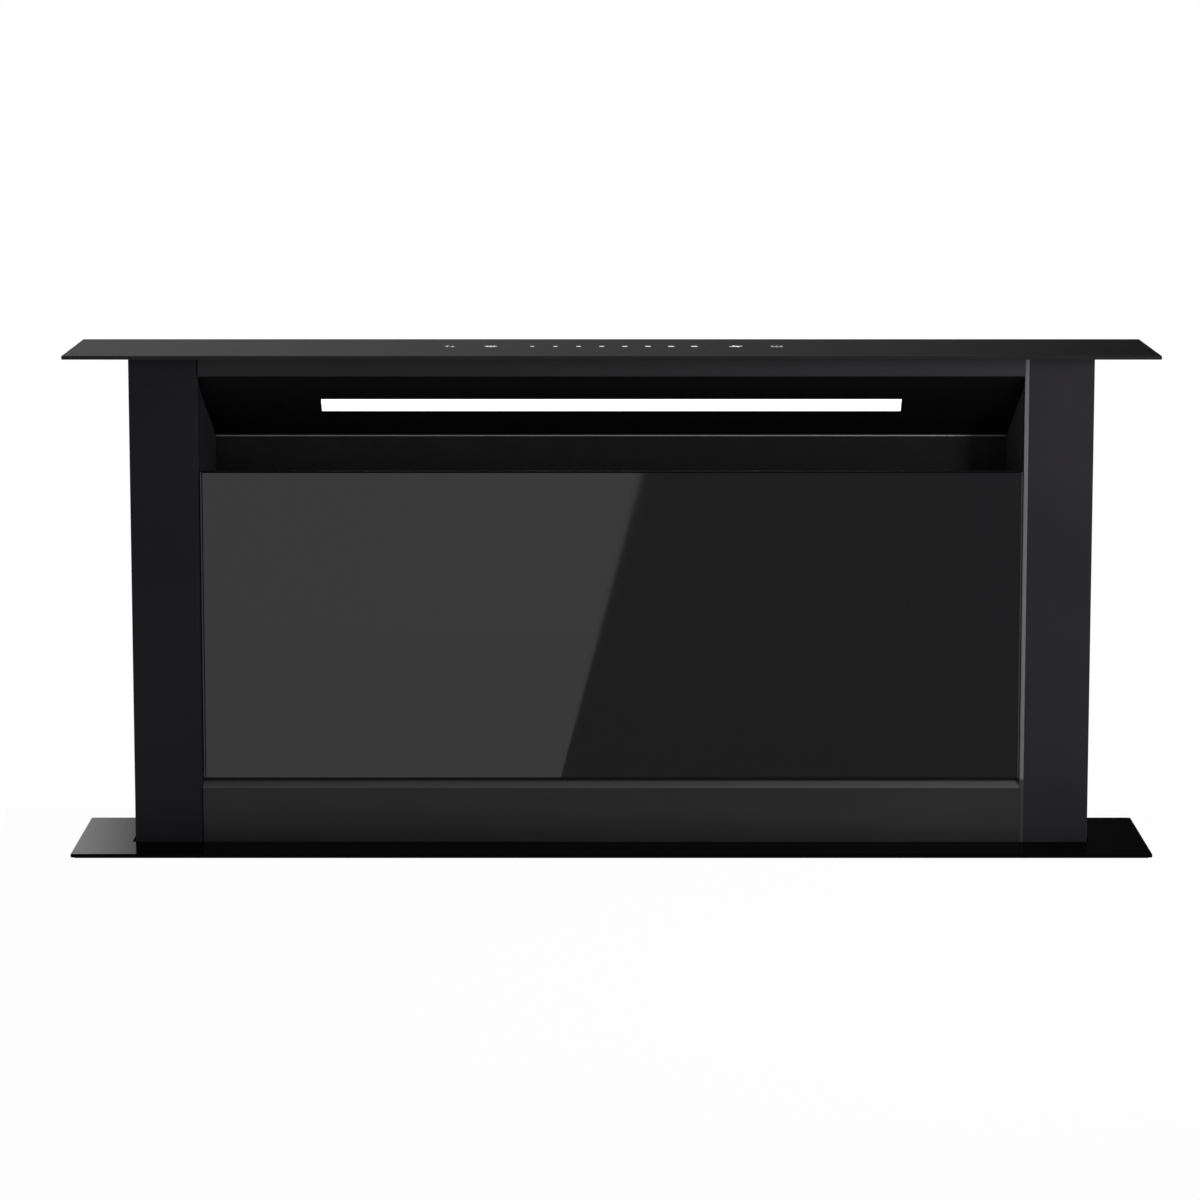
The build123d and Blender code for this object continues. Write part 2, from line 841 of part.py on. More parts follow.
with BuildPart() as screw_bearings:
    high_seat = (-bearing_drop - bearing_height, casing_front + casing_sheet)
    low_seat = (floor_top, casing_sheet - floor_y)
    for foot, seat_y in (high_seat, low_seat):
        with BuildSketch(Plane.XY.offset(foot)):
            rectangle_between((-bearing_width / 2, seat_y), (bearing_width / 2, screw_y))
            with Locations((0, screw_y)):
                Circle(bearing_nose)
                Circle(screw_radius + running_gap, mode=Mode.SUBTRACT)
        extrude(amount=bearing_height)

with BuildPart() as lift_gearmotor:
    with BuildSketch(Plane.XY.offset(floor_bottom)):
        with Locations((0, screw_y)):
            RectangleRounded(gearbox_flange, gearbox_flange, box_corner)
    extrude(amount=-gearbox_flange_thickness)
    with BuildSketch(Plane.XY.offset(floor_bottom)):
        with Locations((0, screw_y)):
            Circle(gearbox_radius)
    extrude(amount=-gearbox_height)
    with BuildSketch(Plane.XY.offset(floor_bottom - gearbox_height)):
        with Locations((0, screw_y)):
            Circle(motor_radius)
    extrude(amount=-motor_height)
    chamfer(lift_gearmotor.edges().group_by(Axis.Z)[0], length=cover_thickness)
    with BuildSketch(Plane.XY.offset(floor_bottom)):
        with Locations((0, screw_y)):
            Circle(screw_radius + running_gap)
    extrude(amount=-screw_tail - cut_gap, mode=Mode.SUBTRACT)

# ---------------------------------------------------------------- blower: four-centre volute, cover and motor
half_step = volute_step / 2
volute_centres = [(-half_step, -half_step), (-half_step, half_step), (half_step, half_step), (half_step, -half_step)]
volute_radii = [volute_radius + k * volute_step for k in range(4)]


def volute_point(quarter, angle, extra=0.0):
    """A point of one quarter of the volute, at an angle in degrees and some way outside it."""
    centre_x, centre_z = volute_centres[quarter]
    reach = volute_radii[quarter] + extra
    return (centre_x + reach * cos(radians(angle)), centre_z + reach * sin(radians(angle)))


def volute_face(drop):
    """The air space of the volute seen from the front, round the wheel's axis, down to its outlet."""
    with BuildLine() as edge:
        Line((tongue_x, -drop), (tongue_x, tongue_z))
        ThreePointArc(volute_point(0, -45), volute_point(0, -67.5), volute_point(0, -90))
        ThreePointArc(volute_point(1, -90), volute_point(1, -135), volute_point(1, -180))
        ThreePointArc(volute_point(2, 180), volute_point(2, 135), volute_point(2, 90))
        ThreePointArc(volute_point(3, 90), volute_point(3, 45), volute_point(3, 0))
        Line(volute_point(3, 0), (outlet_right, -drop))
        Line((outlet_right, -drop), (tongue_x, -drop))
    make_face(edge.edges())


def blower_plane(y):
    """The upright plane at depth y, centred on the wheel's axis and facing the cook."""
    return Plane(origin=(blower_x, y, blower_z), x_dir=(1, 0, 0), z_dir=(0, -1, 0))


wheel_axis = Axis((blower_x, 0, blower_z), (0, 1, 0))
screw_reach = volute_wall + (volute_rim - volute_wall) / 2
rim_screws = [volute_point(1, -135, screw_reach), volute_point(1, -180, screw_reach)]
rim_screws += [volute_point(2, 135, screw_reach), volute_point(2, 90, screw_reach)]
rim_screws += [volute_point(3, 45, screw_reach), volute_point(3, 0, screw_reach)]
rim_screws += [(outlet_right + screw_reach, bolt_head_radius * 2 - outlet_drop)]
rim_screws += [(tongue_x - screw_reach, bolt_head_radius * 2 - outlet_drop)]
ear_reach = volute_rim + ear_overhang
ear_roots = [volute_point(1, -150), volute_point(2, 120), volute_point(3, 30)]
ear_roots += [(outlet_right, -ear_drop)]
ear_screws = [volute_point(1, -150, ear_reach), volute_point(2, 120, ear_reach)]
ear_screws += [volute_point(3, 30, ear_reach), (outlet_right + ear_reach, -ear_drop)]

with BuildPart() as scroll_housing:
    with BuildSketch(blower_plane(casing_front)):
        volute_face(outlet_drop)
        offset(amount=volute_wall, kind=Kind.INTERSECTION)
        rectangle_between((tongue_x - 2 * volute_rim, -2 * outlet_drop), (2 * outlet_right, -outlet_drop), Mode.SUBTRACT)
    extrude(amount=volute_wall + volute_depth)
    with BuildSketch(blower_plane(volute_front + volute_rim_thickness)):
        volute_face(outlet_drop)
        offset(amount=volute_rim, kind=Kind.INTERSECTION)
        rectangle_between((tongue_x - 2 * volute_rim, -2 * outlet_drop), (2 * outlet_right, -outlet_drop), Mode.SUBTRACT)
    extrude(amount=volute_rim_thickness)
    with BuildSketch(blower_plane(casing_front)):
        for root, tip in zip(ear_roots, ear_screws):
            SlotCenterPoint(
                ((root[0] + tip[0]) / 2, (root[1] + tip[1]) / 2),
                tip,
                ear_width,
            )
    extrude(amount=volute_rim_thickness)
    with BuildSketch(blower_plane(volute_back)):
        volute_face(outlet_drop)
    extrude(amount=volute_depth, mode=Mode.SUBTRACT)
    with BuildSketch(blower_plane(casing_front)):
        Circle(eye_radius + fit_gap)
    extrude(amount=volute_wall, mode=Mode.SUBTRACT)
    with BuildSketch(blower_plane(volute_front + volute_rim_thickness)):
        with Locations(*rim_screws):
            Circle(bolt_radius)
    extrude(amount=volute_rim_thickness, mode=Mode.SUBTRACT)
    with BuildSketch(blower_plane(casing_front)):
        with Locations(*ear_screws):
            Circle(bolt_radius)
    extrude(amount=volute_rim_thickness, mode=Mode.SUBTRACT)

with BuildPart() as inlet_ring:
    ring_seat = casing_front + casing_sheet
    ring_face = ring_seat + eye_sheet
    ring_edge = eye_radius + eye_flange
    throat_radius = eye_radius - eye_sheet
    mouth_radius = throat_radius + ring_face - volute_back
    lip_y = volute_back - eye_lip_depth
    with BuildSketch(Plane(origin=(blower_x, 0, blower_z), x_dir=(1, 0, 0), z_dir=(0, 0, 1))):
        with BuildLine():
            Polyline((ring_edge, ring_seat), (ring_edge, ring_face), (mouth_radius, ring_face))
            TangentArc((mouth_radius, ring_face), (throat_radius, volute_back), tangent=(-1, 0))
            Polyline(
                (throat_radius, volute_back),
                (eye_throat, lip_y),
                (eye_throat + eye_sheet, lip_y),
                (eye_radius, volute_back),
                (eye_radius, casing_front),
                (eye_radius + eye_sheet, ring_seat),
                (ring_edge, ring_seat),
            )
        make_face()
    revolve(axis=wheel_axis)

dome_face = volute_front - cover_thickness - dome_height

with BuildPart() as scroll_cover:
    with BuildSketch(blower_plane(volute_front)):
        volute_face(outlet_drop)
        offset(amount=volute_rim, kind=Kind.INTERSECTION)
        rectangle_between((tongue_x - 2 * volute_rim, -2 * outlet_drop), (2 * outlet_right, -outlet_drop), Mode.SUBTRACT)
        with Locations(*rim_screws):
            Circle(bolt_radius, mode=Mode.SUBTRACT)
    extrude(amount=cover_thickness)
    with BuildSketch(blower_plane(volute_front)):
        Circle(dome_radius)
    extrude(amount=cover_thickness + dome_height)
    chamfer(scroll_cover.edges().group_by(Axis.Y)[0], length=cover_thickness)
    with BuildSketch(blower_plane(volute_front)):
        Circle(dome_radius - cover_thickness)
    extrude(amount=dome_height, mode=Mode.SUBTRACT)
    with BuildSketch(blower_plane(dome_face)):
        with PolarLocations(dome_radius - cover_thickness * 2 - dome_slot_length / 2, dome_slots):
            SlotOverall(dome_slot_length, dome_slot_width)
    extrude(amount=-cover_thickness, mode=Mode.SUBTRACT)

fan_motor_face = dome_face + cover_thickness
wheel_back = volute_back - wheel_inset
wheel_front = wheel_back - wheel_width
cup_floor = wheel_front + wheel_cup_depth

with BuildPart() as fan_motor:
    with BuildSketch(blower_plane(fan_motor_face)):
        Circle(fan_motor_radius)
    extrude(amount=-fan_motor_length)
    chamfer(fan_motor.edges().group_by(Axis.Y)[-1], length=cover_thickness)
    with BuildSketch(blower_plane(fan_motor_face + fan_motor_length)):
        Circle(shaft_radius + running_gap)
    extrude(amount=shaft_depth_in_motor, mode=Mode.SUBTRACT)


def blade_point(radius, angle):
    """A point of a blade's section, at a radius and an angle in degrees."""
    return (radius * cos(radians(angle)), radius * sin(radians(angle)))


with BuildPart() as fan_wheel:
    blade_inner = wheel_radius - blade_chord
    blade_turn = degrees(blade_thickness / wheel_radius)
    with BuildSketch(blower_plane(wheel_front + wheel_plate)):
        with PolarLocations(0, blade_count):
            with BuildLine():
                middle_radius = wheel_radius - blade_chord / 3
                ThreePointArc(
                    blade_point(blade_inner, 0),
                    blade_point(middle_radius, -blade_bow),
                    blade_point(wheel_radius, -blade_sweep),
                )
                Line(blade_point(wheel_radius, -blade_sweep), blade_point(wheel_radius, blade_turn - blade_sweep))
                ThreePointArc(
                    blade_point(wheel_radius, blade_turn - blade_sweep),
                    blade_point(middle_radius, blade_turn - blade_bow),
                    blade_point(blade_inner, blade_turn),
                )
                Line(blade_point(blade_inner, blade_turn), blade_point(blade_inner, 0))
            make_face()
    extrude(amount=wheel_ring - wheel_width)
    with BuildSketch(Plane(origin=(blower_x, 0, blower_z), x_dir=(1, 0, 0), z_dir=(0, 0, 1))):
        with BuildLine():
            Polyline(
                (wheel_radius, wheel_front),
                (wheel_radius, wheel_front + wheel_plate),
                (wheel_cup_radius + wheel_plate, wheel_front + wheel_plate),
                (wheel_cup_radius + wheel_plate, cup_floor + wheel_plate),
                (hub_radius, cup_floor + wheel_plate),
                (hub_radius, cup_floor + hub_length),
                (shaft_radius, cup_floor + hub_length),
                (shaft_radius, cup_floor),
                (wheel_cup_radius, cup_floor),
                (wheel_cup_radius, wheel_front),
                close=True,
            )
        make_face()
        rectangle_between(
            (wheel_radius - wheel_ring_width, wheel_back - wheel_ring),
            (wheel_radius, wheel_back),
        )
    revolve(axis=wheel_axis)

with BuildPart() as fan_shaft:
    with BuildSketch(blower_plane(cup_floor + hub_length + sliding_gap)):
        Circle(shaft_radius)
    shaft_end = fan_motor_face + fan_motor_length - shaft_depth_in_motor + cut_gap
    extrude(amount=cup_floor + hub_length + sliding_gap - shaft_end)

# ---------------------------------------------------------------- outlet adaptor, duct collar and flaps
outlet_width = outlet_right - tongue_x


def duct_plane(z):
    """The level plane at height z, centred on the round duct."""
    return Plane(origin=(duct_x, duct_y, z), x_dir=(1, 0, 0), z_dir=(0, 0, 1))


with BuildPart() as outlet_adaptor:
    cone_top = hypot(outlet_width, volute_depth) / 2 + adaptor_wall
    with BuildSketch(duct_plane(outlet_z)):
        RectangleRounded(2 * (cone_top + adaptor_lip), 2 * (cone_top + adaptor_lip), box_corner)
    extrude(amount=-duct_flange_thickness)
    with BuildSketch(Plane(origin=(duct_x, duct_y, 0), x_dir=(1, 0, 0), z_dir=(0, -1, 0))):
        with BuildLine():
            Polyline(
                (cone_top - adaptor_wall, outlet_z - duct_flange_thickness / 2),
                (cone_top, outlet_z - duct_flange_thickness / 2),
                (cone_top, adaptor_top),
                (duct_radius, adaptor_bottom + duct_flange_thickness),
                (duct_radius + duct_flange, adaptor_bottom + duct_flange_thickness),
                (duct_radius + duct_flange, adaptor_bottom),
                (duct_radius - adaptor_wall, adaptor_bottom),
                (cone_top - adaptor_wall, adaptor_top),
                close=True,
            )
        make_face()
    revolve(axis=Axis((duct_x, duct_y, 0), (0, 0, 1)))
    with BuildSketch(duct_plane(outlet_z)):
        RectangleRounded(outlet_width, volute_depth, adaptor_wall)
    extrude(amount=-duct_flange_thickness, mode=Mode.SUBTRACT)

with BuildPart() as duct_spigot:
    duct_inner = duct_radius - duct_wall
    with BuildSketch(duct_plane(collar_top)):
        Circle(duct_radius + duct_flange)
    extrude(amount=-duct_flange_thickness)
    with BuildSketch(duct_plane(collar_top)):
        Circle(duct_radius)
    extrude(amount=collar_bottom - collar_top)
    with BuildSketch(duct_plane(collar_top)):
        Circle(duct_inner)
    extrude(amount=collar_bottom - collar_top, mode=Mode.SUBTRACT)
    with BuildSketch(duct_plane(seat_z)):
        Circle(duct_inner)
        Circle(duct_inner - seat_ring_width, mode=Mode.SUBTRACT)
    extrude(amount=seat_ring_height)
    with BuildSketch(Plane(origin=(duct_x - duct_radius, duct_y, flap_z), x_dir=(0, 1, 0), z_dir=(1, 0, 0))):
        Circle(damper_pin_radius)
    extrude(amount=2 * duct_radius, mode=Mode.SUBTRACT)

with BuildPart() as damper_pin:
    with BuildSketch(Plane(origin=(duct_x - duct_radius, duct_y, flap_z), x_dir=(0, 1, 0), z_dir=(1, 0, 0))):
        Circle(damper_pin_radius)
    extrude(amount=2 * duct_radius)


def damper_flap(side):
    """A half disc with two knuckles on the pin, side -1 at the front and 1 at the back."""
    flap_radius = duct_inner - flap_edge_gap
    middles = [side * knuckle_pitch / 2, side * knuckle_pitch / 2 - side * 2 * knuckle_pitch]
    with BuildPart() as flap:
        with BuildSketch(duct_plane(flap_z - flap_thickness / 2)):
            Circle(flap_radius)
            with Locations((0, side * (flap_middle_gap - flap_radius))):
                Rectangle(2 * flap_radius, 2 * flap_radius, mode=Mode.SUBTRACT)
            with Locations(*[(x, side * flap_middle_gap) for x in middles]):
                Rectangle(knuckle_length, 2 * flap_middle_gap)
        extrude(amount=flap_thickness)
        for middle in middles:
            start = (duct_x + middle - knuckle_length / 2, duct_y, flap_z)
            with BuildSketch(Plane(origin=start, x_dir=(0, 1, 0), z_dir=(1, 0, 0))):
                Circle(knuckle_radius)
            extrude(amount=knuckle_length)
        with BuildSketch(Plane(origin=(duct_x - duct_radius, duct_y, flap_z), x_dir=(0, 1, 0), z_dir=(1, 0, 0))):
            Circle(damper_pin_radius + running_gap)
        extrude(amount=2 * duct_radius, mode=Mode.SUBTRACT)
    return flap


damper_flap_front = damper_flap(-1)
damper_flap_rear = damper_flap(1)

# ---------------------------------------------------------------- control box
box_x = box_width / 2 - box_left
box_z = -box_drop - box_height / 2
box_face = casing_front - box_depth


def box_plane(y):
    """The upright plane at depth y, centred on the control box and facing the cook."""
    return Plane(origin=(box_x, y, box_z), x_dir=(1, 0, 0), z_dir=(0, -1, 0))


gland_x = gland_inset - box_left
gland_y = casing_front - box_depth / 2

with BuildPart() as control_box:
    with BuildSketch(box_plane(casing_front)):
        RectangleRounded(box_width, box_height, box_corner)
    extrude(amount=box_depth)
    with BuildSketch(box_plane(casing_front - box_wall)):
        RectangleRounded(box_width - 2 * box_wall, box_height - 2 * box_wall, box_corner - box_wall)
    extrude(amount=box_depth, mode=Mode.SUBTRACT)
    with BuildSketch(Plane.XY.offset(-box_drop - box_height)):
        with Locations((gland_x, gland_y)):
            Circle(gland_radius)
    extrude(amount=box_wall, mode=Mode.SUBTRACT)

with BuildPart() as control_box_lid:
    with BuildSketch(box_plane(box_face)):
        RectangleRounded(box_width, box_height, box_corner)
    extrude(amount=box_wall)
    with BuildSketch(box_plane(box_face - box_wall)):
        with GridLocations(0, box_height / (box_rib_count + 2), 1, box_rib_count):
            SlotOverall(box_width - 4 * box_corner, box_wall * 2)
    extrude(amount=-box_wall / 2, mode=Mode.SUBTRACT)

with BuildPart() as cable_gland:
    gland_top = box_wall - box_drop - box_height
    with BuildSketch(Plane.XY.offset(gland_top)):
        with Locations((gland_x, gland_y)):
            Circle(gland_radius)
    extrude(amount=-box_wall - gland_length)
    with BuildSketch(Plane.XY.offset(gland_top - box_wall)):
        with Locations((gland_x, gland_y)):
            RegularPolygon(gland_nut, 6)
    extrude(amount=-gland_length / 3)
    with BuildSketch(Plane.XY.offset(gland_top)):
        with Locations((gland_x, gland_y)):
            Circle(gland_bore)
    extrude(amount=-box_wall - gland_length, mode=Mode.SUBTRACT)


# ---------------------------------------------------------------- brackets and screws
clamp_face = -worktop_thickness - clamp_drop
clamp_screw_x = casing_outer + clamp_screw_reach


def clamp_bracket(side):
    """An angle under the worktop's edge, with bores for its jack screws and its bolts."""
    with BuildPart() as bracket:
        with BuildSketch(Plane.XZ.offset(-clamp_width / 2)):
            with BuildLine():
                Polyline(
                    (side * casing_outer, clamp_face),
                    (side * (casing_outer + clamp_reach), clamp_face),
                    (side * (casing_outer + clamp_reach), clamp_face - clamp_sheet),
                    (side * (casing_outer + clamp_sheet), clamp_face - clamp_sheet),
                    (side * (casing_outer + clamp_sheet), clamp_face - clamp_leg),
                    (side * casing_outer, clamp_face - clamp_leg),
                    close=True,
                )
            make_face()
        extrude(amount=clamp_width)
        with BuildSketch(Plane.XY.offset(clamp_face)):
            with Locations((side * clamp_screw_x, 0)):
                with GridLocations(0, clamp_screw_spacing, 1, 2):
                    Circle(clamp_screw_radius)
        extrude(amount=-clamp_sheet, mode=Mode.SUBTRACT)
        with BuildSketch(Plane.YZ.offset(side * casing_outer)):
            with Locations(*clamp_bolts):
                Circle(bolt_radius)
        extrude(amount=side * clamp_sheet, mode=Mode.SUBTRACT)
    return bracket


def foot_bracket(side):
    """An angle at the foot of the casing, with bores for the cabinet's screws and its bolts."""
    with BuildPart() as bracket:
        with BuildSketch(Plane.XZ.offset(-foot_width / 2)):
            with BuildLine():
                Polyline(
                    (side * casing_outer, floor_bottom),
                    (side * (casing_outer + foot_reach), floor_bottom),
                    (side * (casing_outer + foot_reach), floor_bottom + foot_sheet),
                    (side * (casing_outer + foot_sheet), floor_bottom + foot_sheet),
                    (side * (casing_outer + foot_sheet), floor_bottom + foot_leg),
                    (side * casing_outer, floor_bottom + foot_leg),
                    close=True,
                )
            make_face()
        extrude(amount=foot_width)
        with BuildSketch(Plane.XY.offset(floor_bottom)):
            with Locations((side * (casing_outer + foot_hole_reach), 0)):
                with GridLocations(0, foot_hole_spacing, 1, 2):
                    Circle(foot_hole_radius)
        extrude(amount=foot_sheet, mode=Mode.SUBTRACT)
        with BuildSketch(Plane.YZ.offset(side * casing_outer)):
            with Locations(*foot_bolts):
                Circle(bolt_radius)
        extrude(amount=side * foot_sheet, mode=Mode.SUBTRACT)
    return bracket


clamp_bracket_left = clamp_bracket(-1)
clamp_bracket_right = clamp_bracket(1)
foot_bracket_left = foot_bracket(-1)
foot_bracket_right = foot_bracket(1)

with BuildPart() as clamp_screws:
    for side in (-1, 1):
        with BuildSketch(Plane.XY.offset(-worktop_thickness)):
            with Locations((side * clamp_screw_x, 0)):
                with GridLocations(0, clamp_screw_spacing, 1, 2):
                    Circle(clamp_pad_radius)
        extrude(amount=-clamp_pad)
        with BuildSketch(Plane.XY.offset(-worktop_thickness)):
            with Locations((side * clamp_screw_x, 0)):
                with GridLocations(0, clamp_screw_spacing, 1, 2):
                    Circle(clamp_screw_radius)
        extrude(amount=clamp_face - clamp_sheet * 2 + worktop_thickness)
        with BuildSketch(Plane.XY.offset(clamp_face - clamp_sheet * 2)):
            with Locations((side * clamp_screw_x, 0)):
                with GridLocations(0, clamp_screw_spacing, 1, 2):
                    RegularPolygon(clamp_head_radius, 6)
        extrude(amount=-bolt_head)


def bolt(head_plane, shank):
    """A button-head screw whose head stands on the plane, with its shank behind it."""
    with BuildSketch(head_plane) as head:
        Circle(bolt_head_radius)
    with BuildSketch(head_plane) as stem:
        Circle(bolt_radius)
    extrude(head.sketch, amount=bolt_head)
    extrude(stem.sketch, amount=-shank)


with BuildPart() as fixing_screws:
    for x, z in rim_screws:
        bolt(
            blower_plane(volute_front - cover_thickness) * Pos(x, z, 0),
            cover_thickness + volute_rim_thickness,
        )
    for x, z in ear_screws:
        bolt(blower_plane(casing_front - volute_rim_thickness) * Pos(x, z, 0), volute_rim_thickness)
    for side in (-1, 1):
        for sheet, places in ((clamp_sheet, clamp_bolts), (foot_sheet, foot_bolts)):
            for y, z in places:
                seat = Plane(origin=(side * (casing_outer + sheet), y, z), x_dir=(0, 1, 0), z_dir=(side, 0, 0))
                bolt(seat, sheet + casing_sheet)

# ---------------------------------------------------------------- one file for each piece
pieces = {
    "worktop_flange": worktop_flange,
    "flange_gasket": flange_gasket,
    "wiper_seal": wiper_seal,
    "chassis_front": chassis_front,
    "chassis_back": chassis_back,
    "chassis_side_left": chassis_side_left,
    "chassis_side_right": chassis_side_right,
    "chassis_floor": chassis_floor,
    "guide_rail_left": guide_rail_left,
    "guide_rail_right": guide_rail_right,
    "roller_pins": roller_pins,
    "post_left": post_left,
    "post_right": post_right,
    "top_rail": top_rail,
    "bottom_rail": bottom_rail,
    "column_back": column_back,
    "duct_cheek_left": duct_cheek_left,
    "duct_cheek_right": duct_cheek_right,
    "air_deflector": air_deflector,
    "light_lens": light_lens,
    "light_board": light_board,
    "grease_filter_left": grease_filter_left,
    "grease_filter_right": grease_filter_right,
    "front_glass": front_glass,
    "panel_carrier": panel_carrier,
    "panel_catches": panel_catches,
    "top_plate": top_plate,
    "plate_carrier": plate_carrier,
    "touch_board": touch_board,
    "plate_bumpers": plate_bumpers,
    "lift_crossbar": lift_crossbar,
    "nut_bracket": nut_bracket,
    "lift_nut": lift_nut,
    "lead_screw": lead_screw,
    "screw_bearings": screw_bearings,
    "lift_gearmotor": lift_gearmotor,
    "scroll_housing": scroll_housing,
    "inlet_ring": inlet_ring,
    "scroll_cover": scroll_cover,
    "fan_motor": fan_motor,
    "fan_wheel": fan_wheel,
    "fan_shaft": fan_shaft,
    "outlet_adaptor": outlet_adaptor,
    "duct_spigot": duct_spigot,
    "damper_pin": damper_pin,
    "damper_flap_front": damper_flap_front,
    "damper_flap_rear": damper_flap_rear,
    "control_box": control_box,
    "control_box_lid": control_box_lid,
    "cable_gland": cable_gland,
    "clamp_bracket_left": clamp_bracket_left,
    "clamp_bracket_right": clamp_bracket_right,
    "foot_bracket_left": foot_bracket_left,
    "foot_bracket_right": foot_bracket_right,
    "clamp_screws": clamp_screws,
    "fixing_screws": fixing_screws,
}
pieces.update(rollers)

for name, piece in pieces.items():
    piece.part.label = name
    export_step(piece.part, f"parts/{name}.step")
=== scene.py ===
"""Retractable downdraft vent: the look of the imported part, in metres, in the part's own frame."""

import json
from math import cos, hypot, pi, radians, sin

import bmesh
import bpy
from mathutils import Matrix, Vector


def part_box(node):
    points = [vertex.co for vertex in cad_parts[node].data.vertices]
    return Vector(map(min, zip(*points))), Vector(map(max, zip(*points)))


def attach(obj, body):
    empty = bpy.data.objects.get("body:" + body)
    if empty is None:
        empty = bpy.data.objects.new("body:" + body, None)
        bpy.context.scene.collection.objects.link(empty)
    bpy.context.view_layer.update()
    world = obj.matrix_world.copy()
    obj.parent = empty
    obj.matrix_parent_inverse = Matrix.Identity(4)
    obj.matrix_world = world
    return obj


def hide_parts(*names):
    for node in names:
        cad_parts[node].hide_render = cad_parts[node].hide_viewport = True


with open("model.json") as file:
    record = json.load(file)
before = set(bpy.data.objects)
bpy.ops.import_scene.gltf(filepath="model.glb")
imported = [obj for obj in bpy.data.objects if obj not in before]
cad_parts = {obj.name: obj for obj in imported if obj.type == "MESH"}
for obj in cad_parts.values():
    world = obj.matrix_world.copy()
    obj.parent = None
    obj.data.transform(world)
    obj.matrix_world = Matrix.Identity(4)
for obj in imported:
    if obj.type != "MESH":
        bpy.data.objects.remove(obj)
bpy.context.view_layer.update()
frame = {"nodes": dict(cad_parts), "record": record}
nodes = frame["nodes"]


# ---------------------------------------------------------------- node tools
class Nodes:
    """The node tree of a material or world, with short ways to add and link its nodes."""

    def __init__(self, owner):
        owner.use_nodes = True
        self.tree = owner.node_tree
        self.tree.nodes.clear()

    def add(self, kind, **settings):
        node = self.tree.nodes.new(kind)
        for key, value in settings.items():
            setattr(node, key, value)
        return node

    def link(self, start, end):
        self.tree.links.new(start, end)

    def maths(self, operation, *terms):
        """The result of an operation on sockets and plain numbers."""
        node = self.add("ShaderNodeMath", operation=operation)
        for socket, term in zip(node.inputs, terms):
            if isinstance(term, float):
                socket.default_value = term
            else:
                self.link(term, socket)
        return node.outputs["Value"]

    def seen(self, *other_rays):
        """1 for rays from the camera, mirrored rays and the other kinds named, 0 for the rest."""
        paths = self.add("ShaderNodeLightPath")
        share = self.maths("MAXIMUM", paths.outputs["Is Camera Ray"], paths.outputs["Is Glossy Ray"])
        for kind in other_rays:
            share = self.maths("MAXIMUM", share, paths.outputs[kind])
        return share

    def blended(self, share, first, second):
        """Two shaders, blended from the first to the second."""
        node = self.add("ShaderNodeMixShader")
        self.link(share, node.inputs["Fac"])
        self.link(first, node.inputs[1])
        self.link(second, node.inputs[2])
        return node.outputs["Shader"]


